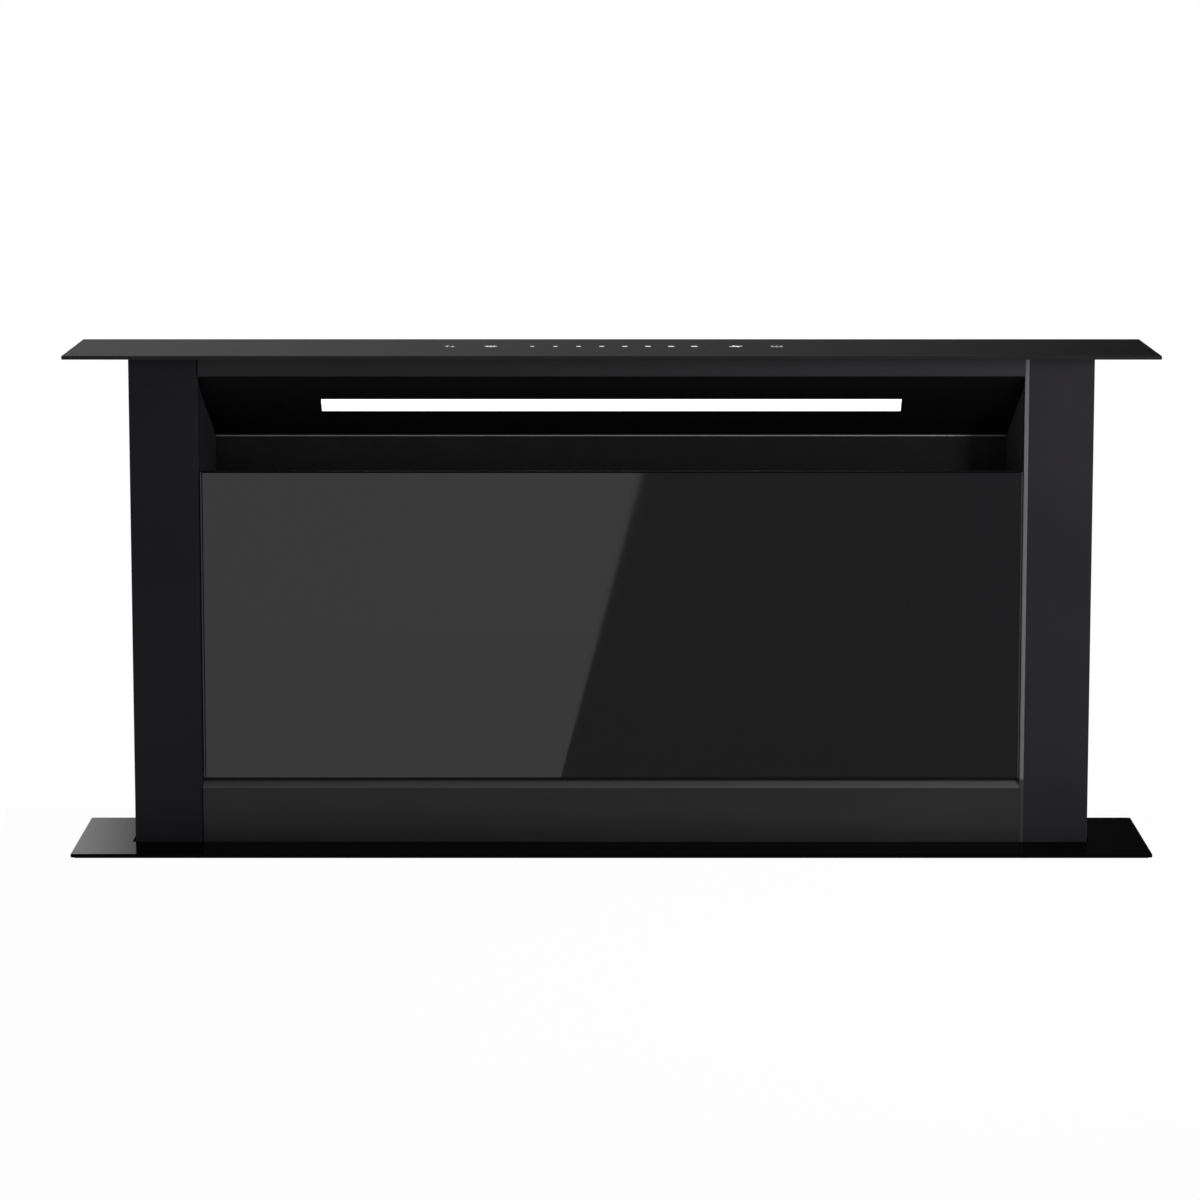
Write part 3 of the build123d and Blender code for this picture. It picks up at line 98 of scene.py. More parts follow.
class Shader(Nodes):
    """A material with one Principled shader, and short ways to add what drives it."""

    def __init__(self, name, color, roughness, metallic=0.0, specular=0.5):
        self.material = bpy.data.materials.new(name)
        super().__init__(self.material)
        self.output = self.add("ShaderNodeOutputMaterial")
        self.bsdf = self.add("ShaderNodeBsdfPrincipled")
        self.link(self.bsdf.outputs["BSDF"], self.output.inputs["Surface"])
        self.bsdf.inputs["Base Color"].default_value = (*color, 1.0)
        self.bsdf.inputs["Roughness"].default_value = roughness
        self.bsdf.inputs["Metallic"].default_value = metallic
        self.bsdf.inputs["Specular IOR Level"].default_value = specular
        coordinates = self.add("ShaderNodeTexCoord")
        self.place = coordinates.outputs["Object"]
        self.facing = coordinates.outputs["Normal"]

    def axes(self, vector):
        """The X, Y and Z of a vector."""
        split = self.add("ShaderNodeSeparateXYZ")
        self.link(vector, split.inputs["Vector"])
        return split.outputs

    def noise(self, scale, detail=3.0, roughness=0.55, stretch=(1.0, 1.0, 1.0)):
        """Cloudy noise in the object's own coordinates, which are scaled along each axis first."""
        mapping = self.add("ShaderNodeMapping")
        mapping.inputs["Scale"].default_value = stretch
        self.link(self.place, mapping.inputs["Vector"])
        node = self.add("ShaderNodeTexNoise")
        node.inputs["Scale"].default_value = scale
        node.inputs["Detail"].default_value = detail
        node.inputs["Roughness"].default_value = roughness
        self.link(mapping.outputs["Vector"], node.inputs["Vector"])
        return node.outputs["Fac"]

    def cells(self, scale, output="Distance"):
        """Voronoi cells in the object's own coordinates."""
        node = self.add("ShaderNodeTexVoronoi")
        node.inputs["Scale"].default_value = scale
        self.link(self.place, node.inputs["Vector"])
        return node.outputs[output]

    def ramp(self, value, stops):
        """A colour ramp from pairs of position and colour."""
        node = self.add("ShaderNodeValToRGB")
        while len(node.color_ramp.elements) < len(stops):
            node.color_ramp.elements.new(0.5)
        for element, (position, color) in zip(node.color_ramp.elements, stops):
            element.position = position
            element.color = (*color, 1.0)
        self.link(value, node.inputs["Fac"])
        return node.outputs["Color"]

    def tones(self, value, color, dark, light, start=0.3, end=0.7):
        """A darker to a lighter tone of a colour, while a value goes from start to end."""
        return self.ramp(value, [(start, tone(color, dark)), (end, tone(color, light))])

    def span(self, value, low, high, start=0.3, end=0.7):
        """Low to high, while a value goes from start to end."""
        node = self.add("ShaderNodeMapRange")
        node.inputs["From Min"].default_value = start
        node.inputs["From Max"].default_value = end
        node.inputs["To Min"].default_value = low
        node.inputs["To Max"].default_value = high
        self.link(value, node.inputs["Value"])
        return node.outputs["Result"]

    def above(self, height, reach, under=0.0):
        """1 over a height of the object and a smaller share under it, with a soft step between."""
        return self.span(self.axes(self.place)["Z"], under, 1.0, height - reach, height + reach)

    def slanting(self, start=0.25, end=0.40):
        """1 on faces that lean between two of the object's axes, 0 on the square faces."""
        facing = self.axes(self.facing)
        leans = [self.maths("MULTIPLY", facing["Y"], facing[axis]) for axis in "XZ"]
        total = self.maths("ADD", *(self.maths("ABSOLUTE", lean) for lean in leans))
        return self.span(total, 0.0, 1.0, start, end)

    def color(self, value):
        self.link(value, self.bsdf.inputs["Base Color"])

    def rough(self, value, low, high, start=0.3, end=0.7):
        self.link(self.span(value, low, high, start, end), self.bsdf.inputs["Roughness"])

    def bump(self, value, height, strength=0.3):
        """Small relief of the given height in metres."""
        node = self.add("ShaderNodeBump")
        node.inputs["Strength"].default_value = strength
        node.inputs["Distance"].default_value = height
        self.link(value, node.inputs["Height"])
        self.link(node.outputs["Normal"], self.bsdf.inputs["Normal"])

    def show(self, surface):
        """Another shader in the place of the Principled one."""
        self.link(surface, self.output.inputs["Surface"])


def tone(color, factor):
    """A colour made lighter or darker."""
    return tuple(min(1.0, channel * factor) for channel in color)


def grey(level):
    return (level, level, level)


# ---------------------------------------------------------------- materials
peel_height, peel_scale, peel_strength = 0.00004, 900.0, 0.35
crease_reach = 0.0012
# Share of a painted highlight that is kept under its height.
dim_share = 0.3


def painted(name, color, roughness, specular=0.5, peel=peel_height, edge=None, dim_under=None):
    """Satin paint with a small orange peel; slanting edges can carry a painted highlight, dimmed under a
    height.
    """
    shader = Shader(name, color, roughness, specular=specular)
    face = shader.tones(shader.noise(scale=6.0, detail=5.0), color, dark=0.88, light=1.14)
    if edge is not None:
        # Painted highlight: slanting faces take the lighter edge colour, dimmed under the given height.
        share = shader.slanting()
        if dim_under is not None:
            share = shader.maths("MULTIPLY", share, shader.above(dim_under, crease_reach, dim_share))
        blend = shader.add("ShaderNodeMix", data_type="RGBA")
        shader.link(share, blend.inputs["Factor"])
        shader.link(face, blend.inputs["A"])
        blend.inputs["B"].default_value = (*edge, 1.0)
        face = blend.outputs["Result"]
    shader.color(face)
    shader.rough(shader.noise(scale=30.0, detail=4.0), low=roughness * 0.88, high=roughness * 1.14)
    shader.bump(shader.noise(peel_scale, detail=2.0), peel, peel_strength)
    return shader.material


def folded(name, fold, upright, slope, crease_highlight):
    """Dark sheet with one tone under its fold, a darker painted shade over it and a painted highlight
    along the crease between.
    """
    shader = Shader(name, upright, roughness=0.6, specular=0.08)
    stops = [(0.2, upright), (0.3, crease_highlight), (0.7, crease_highlight), (0.8, slope)]
    shader.color(shader.ramp(shader.above(fold, crease_reach), stops))
    shader.rough(shader.noise(scale=60.0), low=0.5, high=0.68)
    shader.bump(shader.noise(peel_scale, detail=2.0), peel_height, peel_strength)
    return shader.material


def moulded(name, color, roughness):
    """Moulded plastic with a fine spark-eroded grain."""
    shader = Shader(name, color, roughness, specular=0.4)
    shader.color(shader.tones(shader.noise(scale=9.0, detail=4.0), color, dark=0.86, light=1.16))
    shader.rough(shader.noise(scale=45.0), low=roughness * 0.85, high=roughness * 1.15)
    shader.bump(shader.cells(scale=700.0), height=0.00006)
    return shader.material


def plated(name, color, roughness, stretch=(1.0, 1.0, 1.0), line_scale=500.0):
    """Bright zinc plate or rolled steel with fine lines along the working direction."""
    shader = Shader(name, color, roughness, metallic=1.0)
    lines = shader.noise(line_scale, detail=4.0, roughness=0.6, stretch=stretch)
    shader.color(shader.tones(shader.noise(scale=14.0, detail=5.0), color, dark=0.82, light=1.12))
    shader.rough(lines, low=roughness * 0.8, high=roughness * 1.25)
    shader.bump(lines, height=0.000008, strength=0.12)
    return shader.material


def galvanised(name, color):
    """Hot-dip galvanised sheet: crystal spangle in tones, sheen and a very low relief."""
    shader = Shader(name, color, roughness=0.42, metallic=0.85)
    flakes = shader.cells(scale=130.0, output="Color")
    split = shader.add("ShaderNodeSeparateColor")
    shader.link(flakes, split.inputs["Color"])
    flake_share = 0.6
    clouds = shader.noise(scale=40.0, detail=4.0)
    spangle = shader.maths("MULTIPLY_ADD", split.outputs["Red"], flake_share, clouds)
    shader.color(shader.tones(spangle, color, dark=0.84, light=1.08, start=0.35, end=1.0))
    shader.rough(split.outputs["Green"], low=0.3, high=0.55, start=0.0, end=1.0)
    shader.bump(flakes, height=0.00003, strength=0.12)
    return shader.material


def glass_black(name, color, roughness, specular, waviness):
    """Black glass: a deep flat colour under a polished face, with a matt print on its underside."""
    shader = Shader(name, color, roughness, specular=specular)
    shader.color(shader.tones(shader.noise(scale=3.0), color, dark=0.92, light=1.08))
    polish = shader.span(shader.noise(scale=120.0), low=roughness * 0.8, high=roughness * 1.25)
    upward = shader.axes(shader.facing)["Z"]
    underside = shader.span(upward, low=0.8, high=0.0, start=-0.9, end=-0.5)
    shader.link(shader.maths("ADD", polish, underside), shader.bsdf.inputs["Roughness"])
    shader.bump(shader.noise(scale=2.5, detail=1.0), waviness, strength=0.2)
    return shader.material


def rubber(name, color):
    """Extruded rubber: matt, slightly dusty."""
    shader = Shader(name, color, roughness=0.72, specular=0.35)
    shader.color(shader.tones(shader.noise(scale=60.0, detail=5.0), color, dark=0.8, light=1.8))
    shader.bump(shader.noise(scale=1500.0, detail=2.0), height=0.00005, strength=0.4)
    return shader.material


def circuit_board(name, color, track_color):
    """Solder mask in blocks of two tones, with lighter tracks between them."""
    shader = Shader(name, color, roughness=0.38)
    tracks = shader.add("ShaderNodeTexBrick")
    tracks.inputs["Scale"].default_value = 160.0
    tracks.inputs["Mortar Size"].default_value = 0.05
    tracks.inputs["Color1"].default_value = (*tone(color, 0.75), 1.0)
    tracks.inputs["Color2"].default_value = (*tone(color, 1.25), 1.0)
    tracks.inputs["Mortar"].default_value = (*track_color, 1.0)
    shader.link(shader.place, tracks.inputs["Vector"])
    shader.color(tracks.outputs["Color"])
    shader.rough(shader.noise(scale=200.0), low=0.3, high=0.5)
    shader.bump(tracks.outputs["Fac"], height=0.00003, strength=0.4)
    return shader.material


print_blur = 0.0001
light_level = 1.15


def light_diffuser(name, low, high):
    """Opal light bar: a white band between two heights, in a lens with a dark printed border."""
    border, opal = grey(0.0013), (0.93, 0.93, 0.92)
    cool, warm = (0.985, 0.99, 1.0), (1.0, 1.0, 0.995)
    shader = Shader(name, opal, roughness=0.5, specular=0.08)
    height = shader.axes(shader.place)["Z"]
    over_low = shader.span(height, 0.0, 1.0, low - print_blur, low + print_blur)
    under_high = shader.span(height, 1.0, 0.0, high - print_blur, high + print_blur)
    lit = shader.maths("MULTIPLY", over_low, under_high)
    shader.color(shader.ramp(lit, [(0.0, border), (1.0, opal)]))
    glow = shader.ramp(shader.noise(scale=25.0, detail=2.0), [(0.2, cool), (0.8, warm)])
    shader.link(glow, shader.bsdf.inputs["Emission Color"])
    level = shader.span(lit, low=0.0, high=light_level, start=0.0, end=1.0)
    shader.link(level, shader.bsdf.inputs["Emission Strength"])
    shader.bump(shader.noise(scale=900.0, detail=2.0), height=0.00003, strength=0.2)
    return shader.material


def printed_mark(name, level):
    """Pale symbols in the print under the glass, lit from below."""
    shader = Shader(name, grey(level * 0.5), roughness=0.35)
    grain = shader.noise(scale=2500.0, detail=2.0)
    glow = shader.tones(grain, grey(level), dark=0.9, light=1.0)
    shader.link(glow, shader.bsdf.inputs["Emission Color"])
    shader.bsdf.inputs["Emission Strength"].default_value = 1.0
    shader.rough(shader.noise(scale=600.0), low=0.3, high=0.45)
    return shader.material


board_color, track_color = (0.02, 0.13, 0.05), (0.16, 0.30, 0.12)
along_x, along_z, along_slots = (0.1, 1.0, 1.0), (1.0, 1.0, 0.1), (1.0, 0.08, 0.08)
plate_color, panel_color = (0.007, 0.0066, 0.0068), (0.0032, 0.0032, 0.0040)
frame_color, painted_shade_color = (0.0165, 0.0155, 0.017), (0.0132, 0.0122, 0.0142)
aluminium_color = (0.70, 0.71, 0.72)

finishes = {
    "plate_glass": glass_black("plate_glass_look", plate_color, 0.13, specular=0.14, waviness=0.00001),
    "panel_glass": glass_black("panel_glass_look", panel_color, 0.03, specular=0.5, waviness=0.00002),
    "flange_black": painted("flange_look", grey(0.0004), 0.12, specular=0.02, peel=0.000005),
    "frame_grey": painted("frame_look", frame_color, 0.34, specular=0.05),
    "back_grey": painted("back_look", (0.020, 0.020, 0.021), 0.42, specular=0.2),
    "duct_black": painted("duct_look", grey(0.013), 0.6, specular=0.1),
    "board_green": circuit_board("board_look", board_color, track_color),
    "filter_aluminium": plated("filter_look", aluminium_color, 0.33, along_slots, line_scale=900.0),
    "panel_frame": painted("panel_frame_look", (0.012, 0.012, 0.0125), 0.5),
    "casing_zinc": galvanised("casing_look", (0.37, 0.385, 0.40)),
    "bright_steel": plated("bright_steel_look", (0.50, 0.51, 0.51), 0.28, along_x),
    "screw_steel": plated("screw_steel_look", (0.46, 0.46, 0.47), 0.25, along_z),
    "nut_brass": plated("nut_brass_look", (0.74, 0.52, 0.22), 0.26, along_z),
    "bearing_black": moulded("bearing_look", (0.022, 0.022, 0.024), 0.5),
    "roller_white": moulded("roller_look", (0.78, 0.78, 0.74), 0.42),
    "seal_rubber": rubber("seal_look", grey(0.010)),
    "motor_black": painted("motor_black_look", (0.016, 0.016, 0.018), 0.38),
    "motor_alloy": plated("motor_alloy_look", (0.58, 0.59, 0.60), 0.45, line_scale=300.0),
    "scroll_grey": moulded("scroll_look", (0.045, 0.047, 0.050), 0.45),
    "wheel_grey": moulded("wheel_look", (0.14, 0.145, 0.15), 0.4),
    "duct_plastic": moulded("duct_plastic_look", (0.024, 0.024, 0.026), 0.42),
    "flap_plastic": moulded("flap_look", (0.38, 0.39, 0.40), 0.4),
    "box_plastic": moulded("box_look", (0.055, 0.057, 0.060), 0.46),
}

lit_start, lit_end = 0.203, 0.668
lens_low, lens_high = (corner[2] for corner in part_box("light_lens"))
lit_low, lit_high = (lens_low + share * (lens_high - lens_low) for share in (lit_start, lit_end))
finishes["light_opal"] = light_diffuser("light_look", lit_low, lit_high)

sill_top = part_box("bottom_rail")[1][2]
# Painted highlight colours: a light grey for the right post's slanting inner edge, a lighter grey for the
# sill's bevel.
painted_edge_highlight, sill_highlight = grey(0.25), (0.065, 0.063, 0.065)
deflector_heights = sorted({round(vert.co.z, 5) for vert in nodes["air_deflector"].data.vertices})
deflector_fold = deflector_heights[1]
# Painted shade and highlight on the deflector: the slope's tone is darker than the upright's, and the
# crease takes a bright grey.
deflector_tones = {"upright": (0.0075, 0.0078, 0.0075), "slope": grey(0.0013), "crease_highlight": grey(0.2)}

special_finishes = {
    # Painted shade: the left post takes a darker copy of the frame paint.
    "post_left": painted("post_painted_shade_look", painted_shade_color, 0.34, specular=0.05),
    # Painted highlight on the right post's slanting inner edge, dimmed below the top of the sill.
    "post_right": painted("post_highlight_look", frame_color, 0.34, 0.05, edge=painted_edge_highlight, dim_under=sill_top),
    # Painted highlight on the sill's bevel; its base colour is also a little lighter than the frame
    # paint.
    "bottom_rail": painted("sill_highlight_look", (0.018, 0.0175, 0.018), 0.34, 0.16, edge=sill_highlight),
    # Painted light: the top rail takes a lighter copy of the frame paint.
    "top_rail": painted("top_rail_look", (0.021, 0.020, 0.0215), 0.34, specular=0.09),
    # Painted light: the right cheek takes a lighter copy of the duct paint.
    "duct_cheek_right": painted("cheek_right_look", grey(0.024), 0.6, specular=0.1),
    # Painted shade on the deflector's slope and a painted highlight along its crease.
    "air_deflector": folded("deflector_look", deflector_fold, **deflector_tones),
}


# ---------------------------------------------------------------- the CAD nodes, dressed
weld_distance = 0.000002
flat_angle = 0.5
edge_radius, fold_radius = 0.00035, 0.00055
edge_angle = 40.0

as_modelled = {
    "top_plate",
    "front_glass",
    "plate_carrier",
    "grease_filter_left",
    "grease_filter_right",
    "guide_roller_left_high",
    "guide_roller_left_low",
    "guide_roller_right_high",
    "guide_roller_right_low",
    "fan_wheel",
    "inlet_ring",
    "outlet_adaptor",
    "duct_spigot",
}


def soften(obj, radius):
    """Small bevels on the sharp edges, after faces are joined and flat ones cleared of edges."""
    obj.modifiers.new("joined_faces", "WELD").merge_threshold = weld_distance
    flattened = obj.modifiers.new("flat_faces", "DECIMATE")
    flattened.decimate_type = "DISSOLVE"
    flattened.angle_limit = radians(flat_angle)
    softened = obj.modifiers.new("soft_edges", "BEVEL")
    softened.width = radius
    softened.segments = 2
    softened.limit_method = "ANGLE"
    softened.angle_limit = radians(edge_angle)
    softened.harden_normals = True


for part in frame["record"]["subparts"]:
    name = part["node"]
    nodes[name].data.materials.clear()
    nodes[name].data.materials.append(special_finishes.get(name, finishes[part["material_slot"]]))
    if name not in as_modelled:
        soften(nodes[name], fold_radius if name == "air_deflector" else edge_radius)


# ---------------------------------------------------------------- mesh tools
def piece(name, mesh_maker, material, body):
    """A new object whose mesh a function fills, in the part's frame, riding on a CAD body."""
    mesh = bpy.data.meshes.new(name)
    shape = bmesh.new()
    mesh_maker(shape)
    bmesh.ops.recalc_face_normals(shape, faces=shape.faces)
    shape.to_mesh(mesh)
    shape.free()
    obj = bpy.data.objects.new(name, mesh)
    bpy.context.scene.collection.objects.link(obj)
    mesh.materials.append(material)
    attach(obj, body)
    return obj


def thicken(obj, name, thickness):
    """Thickness to both sides of flat faces."""
    thickened = obj.modifiers.new(name, "SOLIDIFY")
    thickened.thickness = thickness
    thickened.offset = 0.0


def ring(shape, middle, across, up, radii, height):
    """Vertices round an axis: one radius per vertex, at a height along the axis."""
    axis = across.cross(up)
    turns = [2 * pi * k / len(radii) for k in range(len(radii))]
    return [
        shape.verts.new(middle + (across * cos(turn) + up * sin(turn)) * radius + axis * height)
        for turn, radius in zip(turns, radii)
    ]


def skin(shape, rings):
    """Quads between neighbouring rings, with flat ends."""
    for lower, upper in zip(rings, rings[1:]):
        for k in range(len(lower)):
            shape.faces.new((lower[k - 1], lower[k], upper[k], upper[k - 1]))
    shape.faces.new(rings[0])
    shape.faces.new(rings[-1])


# ---------------------------------------------------------------- screws with domed heads
ring_steps = 24
shank_share, wide_share, end_reach = 0.5, 0.9, 0.00001
head_profile = [(1.0, 0.0), (1.0, 0.35), (0.93, 0.68), (0.8, 0.9), (0.7, 1.0)]
socket_share, socket_floor = 0.42, 0.45


def islands(mesh):
    """The corners of each solid in a mesh whose faces don't share their corners."""
    shape = bmesh.new()
    shape.from_mesh(mesh)
    bmesh.ops.remove_doubles(shape, verts=shape.verts, dist=weld_distance)
    waiting, groups = set(shape.verts), []
    while waiting:
        group, front = set(), [waiting.pop()]
        while front:
            vert = front.pop()
            group.add(vert)
            for near in (edge.other_vert(vert) for edge in vert.link_edges):
                if near in waiting:
                    waiting.discard(near)
                    front.append(near)
        groups.append([vert.co.copy() for vert in group])
    shape.free()
    return groups


def circle(radius):
    """One and the same distance from the middle at every turn."""
    return [radius] * ring_steps


def hexagon(radius):
    """The distances from the middle to a hexagon's edge, at even turns."""
    flat = radius * cos(pi / 6)
    turns = [2 * pi * k / ring_steps for k in range(ring_steps)]
    return [flat / cos(turn % (pi / 3) - pi / 6) for turn in turns]


def button_screw(shape, points):
    """One screw again from the corners of the plain one, with a domed head and a hexagon socket."""
    low = Vector([min(point[k] for point in points) for k in range(3)])
    high = Vector([max(point[k] for point in points) for k in range(3)])
    size, middle = high - low, (low + high) / 2
    along = min(range(3), key=lambda k: abs(size[(k + 1) % 3] - size[(k + 2) % 3]))
    cross = ((along + 1) % 3, (along + 2) % 3)
    radius = size[cross[0]] / 2
    reaches = [(hypot(*((point - middle)[k] for k in cross)), point[along]) for point in points]
    wide = [place for reach, place in reaches if reach > radius * wide_share]
    head = max(wide) - min(wide)
    outward = 1 if max(wide) > high[along] - end_reach else -1
    axis = Vector([outward if k == along else 0 for k in range(3)])
    across = Vector([1 if k == cross[0] else 0 for k in range(3)])
    up = axis.cross(across)
    seat = middle + axis * (size[along] / 2 - head)
    shank, socket = circle(radius * shank_share), hexagon(radius * socket_share)
    levels = [(shank, head - size[along]), (shank, 0.0)]
    levels += [(circle(radius * share), head * height) for share, height in head_profile]
    levels += [(socket, head), (socket, head * socket_floor)]
    skin(shape, [ring(shape, seat, across, up, radii, height) for radii, height in levels])


def button_screws(shape):
    for points in islands(nodes["fixing_screws"].data):
        button_screw(shape, points)


screw_look = plated("button_screw_look", (0.42, 0.42, 0.43), 0.3)
screws = piece("button_screws", button_screws, screw_look, "chassis")
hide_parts("fixing_screws")


# ---------------------------------------------------------------- the lift screw's thread
thread_lead, thread_depth, thread_steps = 0.008, 0.0009, 20
thread_profile = [(0.0, 0.0), (0.12, 1.0), (0.5, 1.0), (0.62, 0.0)]
plain_end = 0.012


def thread_strips(shape, middle, radius, start, end):
    """The profile of the thread at each step of its way round and up the screw."""
    root = radius - thread_depth
    profile = [(thread_lead * share, root + thread_depth * crest) for share, crest in thread_profile]
    strips = []
    for k in range(int((end - start - thread_lead) / thread_lead * thread_steps) + 1):
        turn = 2 * pi * k / thread_steps
        base = start + thread_lead * k / thread_steps
        corners = [(reach * cos(turn), reach * sin(turn), base + rise) for rise, reach in profile]
        strips.append([shape.verts.new((middle.x + x, middle.y + y, z)) for x, y, z in corners])
    return strips


def screw_thread(shape):
    """The lift screw's core with its trapezoidal thread, one turn for each lead."""
    low, high = (Vector(corner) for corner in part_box("lead_screw"))
    middle = (low + high) / 2
    radius = (high.x - low.x) / 2
    root = radius - thread_depth
    skin(shape, thread_strips(shape, middle, radius, low.z + plain_end, high.z - plain_end))
    across, up = Vector((1, 0, 0)), Vector((0, 1, 0))
    foot = Vector((middle.x, middle.y, low.z))
    length = high.z - low.z
    core = [(radius, 0.0), (radius, plain_end), (root, plain_end)]
    core += [(root, length - plain_end), (radius, length - plain_end), (radius, length)]
    skin(shape, [ring(shape, foot, across, up, [reach] * thread_steps, height) for reach, height in core])


thread = piece("threaded_lead_screw", screw_thread, finishes["screw_steel"], "screw")
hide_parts("lead_screw")


# ---------------------------------------------------------------- the filters' wires
filter_lean, filter_deep, filter_rim = radians(8.7), 0.009, 0.014
wire_pitch, wire_width, wire_depth = 0.0052, 0.0007, 0.0072
layer_gap = 0.3


def filter_mesh(node):
    """A maker of crossed wires behind the openings of one filter."""
    low, high = (Vector(corner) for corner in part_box(node))
    up = Vector((0, sin(filter_lean), cos(filter_lean)))
    inward = Vector((0, cos(filter_lean), -sin(filter_lean)))
    foot_rise = filter_deep * sin(filter_lean)
    origin = Vector((low.x, low.y, low.z + foot_rise))
    height = (high.z - low.z - foot_rise) / cos(filter_lean)
    left, right = filter_rim, high.x - low.x - filter_rim
    bottom, top = filter_rim, height - filter_rim

    def wire(shape, shift, slope):
        """One wire from side to side, cut off at the bottom and the top; short ones are left out."""
        heights = [min(max(shift + slope * x, bottom), top) for x in (left, right)]
        (x0, y0), (x1, y1) = (((y - shift) * slope, y) for y in heights)
        if x1 - x0 <= wire_pitch:
            return
        side = Vector((-slope, 1)).normalized() * wire_width / 2
        corners = [(x0 - side.x, y0 - side.y), (x1 - side.x, y1 - side.y)]
        corners += [(x1 + side.x, y1 + side.y), (x0 + side.x, y0 + side.y)]
        layer = inward * (wire_depth + slope * wire_width * layer_gap)
        places = [origin + Vector((x, 0, 0)) + up * y + layer for x, y in corners]
        shape.faces.new([shape.verts.new(place) for place in places])

    def maker(shape):
        for slope in (-1, 1):
            shift = bottom - right if slope > 0 else bottom + left
            stop = top - left if slope > 0 else top + right
            while shift < stop:
                wire(shape, shift, slope)
                shift += wire_pitch

    return maker


wire_look = plated("filter_wire_look", (0.52, 0.53, 0.54), 0.35)
for side in ("left", "right"):
    wires = piece(f"filter_mesh_{side}", filter_mesh(f"grease_filter_{side}"), wire_look, "column")
    thicken(wires, "wire_thickness", wire_width)


# ---------------------------------------------------------------- touch marks printed on the top plate
print_lift, print_thickness = 0.00006, 0.00006
plate_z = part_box("top_plate")[1][2] + print_lift
mark_y = 0.009
pixel_size = 0.001 / 1.2248
middle_pixel = 610.8
lift_pixel, lamp_pixel, fan_pixel, power_pixel = 449.0, 490.0, 735.5, 776.5
first_dot_pixel, dot_pitch_pixels = 531.5, 23.2
smallest_dot, dot_growth, dot_count = 0.00165, 0.000166, 8


def mark_x(pixel):
    """Where a mark's column in the photograph lies on the plate."""
    return (pixel - middle_pixel) * pixel_size


def around(middle, radius, turn):
    """The point at a distance from a middle and an angle in degrees."""
    return (middle[0] + radius * cos(radians(turn)), middle[1] + radius * sin(radians(turn)))


def arc(middle, radius, start, end, steps=24):
    """Points of an arc, with its angles in degrees."""
    return [around(middle, radius, start + (end - start) * k / steps) for k in range(steps + 1)]


def ribbon(shape, points, width, closed=False):
    """A flat printed line of even width through points of the plate."""
    count = len(points)
    sides = []
    for k, (x, y) in enumerate(points):
        before = points[(k - 1) % count] if closed or k else points[k]
        after = points[(k + 1) % count] if closed or k < count - 1 else points[k]
        along = Vector((after[0] - before[0], after[1] - before[1])).normalized()
        across = Vector((-along.y, along.x)) * width / 2
        edges = ((x - across.x, y - across.y), (x + across.x, y + across.y))
        sides.append([shape.verts.new((*edge, plate_z)) for edge in edges])
    for k in range(count if closed else count - 1):
        (right, left), (next_right, next_left) = sides[k], sides[(k + 1) % count]
        shape.faces.new((right, next_right, next_left, left))


def disc(shape, middle, radius, steps=20):
    """A flat printed dot."""
    edge = arc(middle, radius, 0, 360 - 360 / steps, steps - 1)
    shape.faces.new([shape.verts.new((x, y, plate_z)) for x, y in edge])


def speed_dots(shape):
    """A row of dots that grow from left to right."""
    for k in range(dot_count):
        middle = (mark_x(first_dot_pixel + dot_pitch_pixels * k), mark_y)
        disc(shape, middle, smallest_dot + dot_growth * k)


def lift_mark(shape):
    """An arrow up beside an arrow down."""
    size, line, spread, barb = 0.0042, 0.0009, 0.0023, 0.0018
    for side in (-1, 1):
        x = mark_x(lift_pixel) + side * spread
        tip = mark_y - side * size
        shoulder = tip + side * barb
        ribbon(shape, [(x - barb, shoulder), (x, tip), (x + barb, shoulder)], line)
        ribbon(shape, [(x, tip + side * line), (x, mark_y + side * size)], line)


def lamp_mark(shape):
    """A lamp: a round bulb with rays."""
    bulb, line, ray_start, ray_end = 0.0028, 0.0009, 0.0038, 0.0053
    middle = (mark_x(lamp_pixel), mark_y)
    ribbon(shape, arc(middle, bulb, start=0, end=345), line, closed=True)
    for turn in range(0, 360, 45):
        ribbon(shape, [around(middle, reach, turn) for reach in (ray_start, ray_end)], line)


def fan_mark(shape):
    """A fan with four swept blades."""
    hub, reach, blade, line = 0.0011, 0.0029, 0.0024, 0.0014
    middle = (mark_x(fan_pixel), mark_y)
    disc(shape, middle, hub)
    for turn in range(0, 360, 90):
        blade_middle = around(middle, reach, turn)
        ribbon(shape, arc(blade_middle, blade, start=turn + 20, end=turn + 200, steps=12), line)


def power_mark(shape):
    """A broken ring with an upright line."""
    radius, line, bar_start, bar_end = 0.0044, 0.0010, 0.001, 0.0058
    x = mark_x(power_pixel)
    ribbon(shape, arc((x, mark_y), radius, start=125, end=415), line)
    ribbon(shape, [(x, mark_y + bar_start), (x, mark_y + bar_end)], line)


bright_mark = printed_mark("mark_bright_look", level=0.95)
dim_mark = printed_mark("mark_dim_look", level=0.6)
for name, maker, look in (
    ("touch_dots", speed_dots, bright_mark),
    ("touch_lift", lift_mark, dim_mark),
    ("touch_lamp", lamp_mark, bright_mark),
    ("touch_fan", fan_mark, bright_mark),
    ("touch_power", power_mark, dim_mark),
):
    mark = piece(name, maker, look, "column")
    thicken(mark, "print_thickness", print_thickness)


# ---------------------------------------------------------------- stage: floor with the cut-out
floor_level, hole_gap = -0.0002, 0.001
floor_front, floor_back = -1.14, 0.14
floor_front_half, floor_back_half = 0.42, 0.52


def floor_material(name, level=0.86, seen_share=0.975):
    """Pale matt surface, nearly white when seen, with the object's shadow kept."""
    shader = Shader(name, grey(level), roughness=0.9, specular=0.1)
    glow = shader.add("ShaderNodeEmission")
    share = shader.maths("MULTIPLY", shader.seen(), seen_share)
    shader.show(shader.blended(share, shader.bsdf.outputs["BSDF"], glow.outputs["Emission"]))
    return shader.material


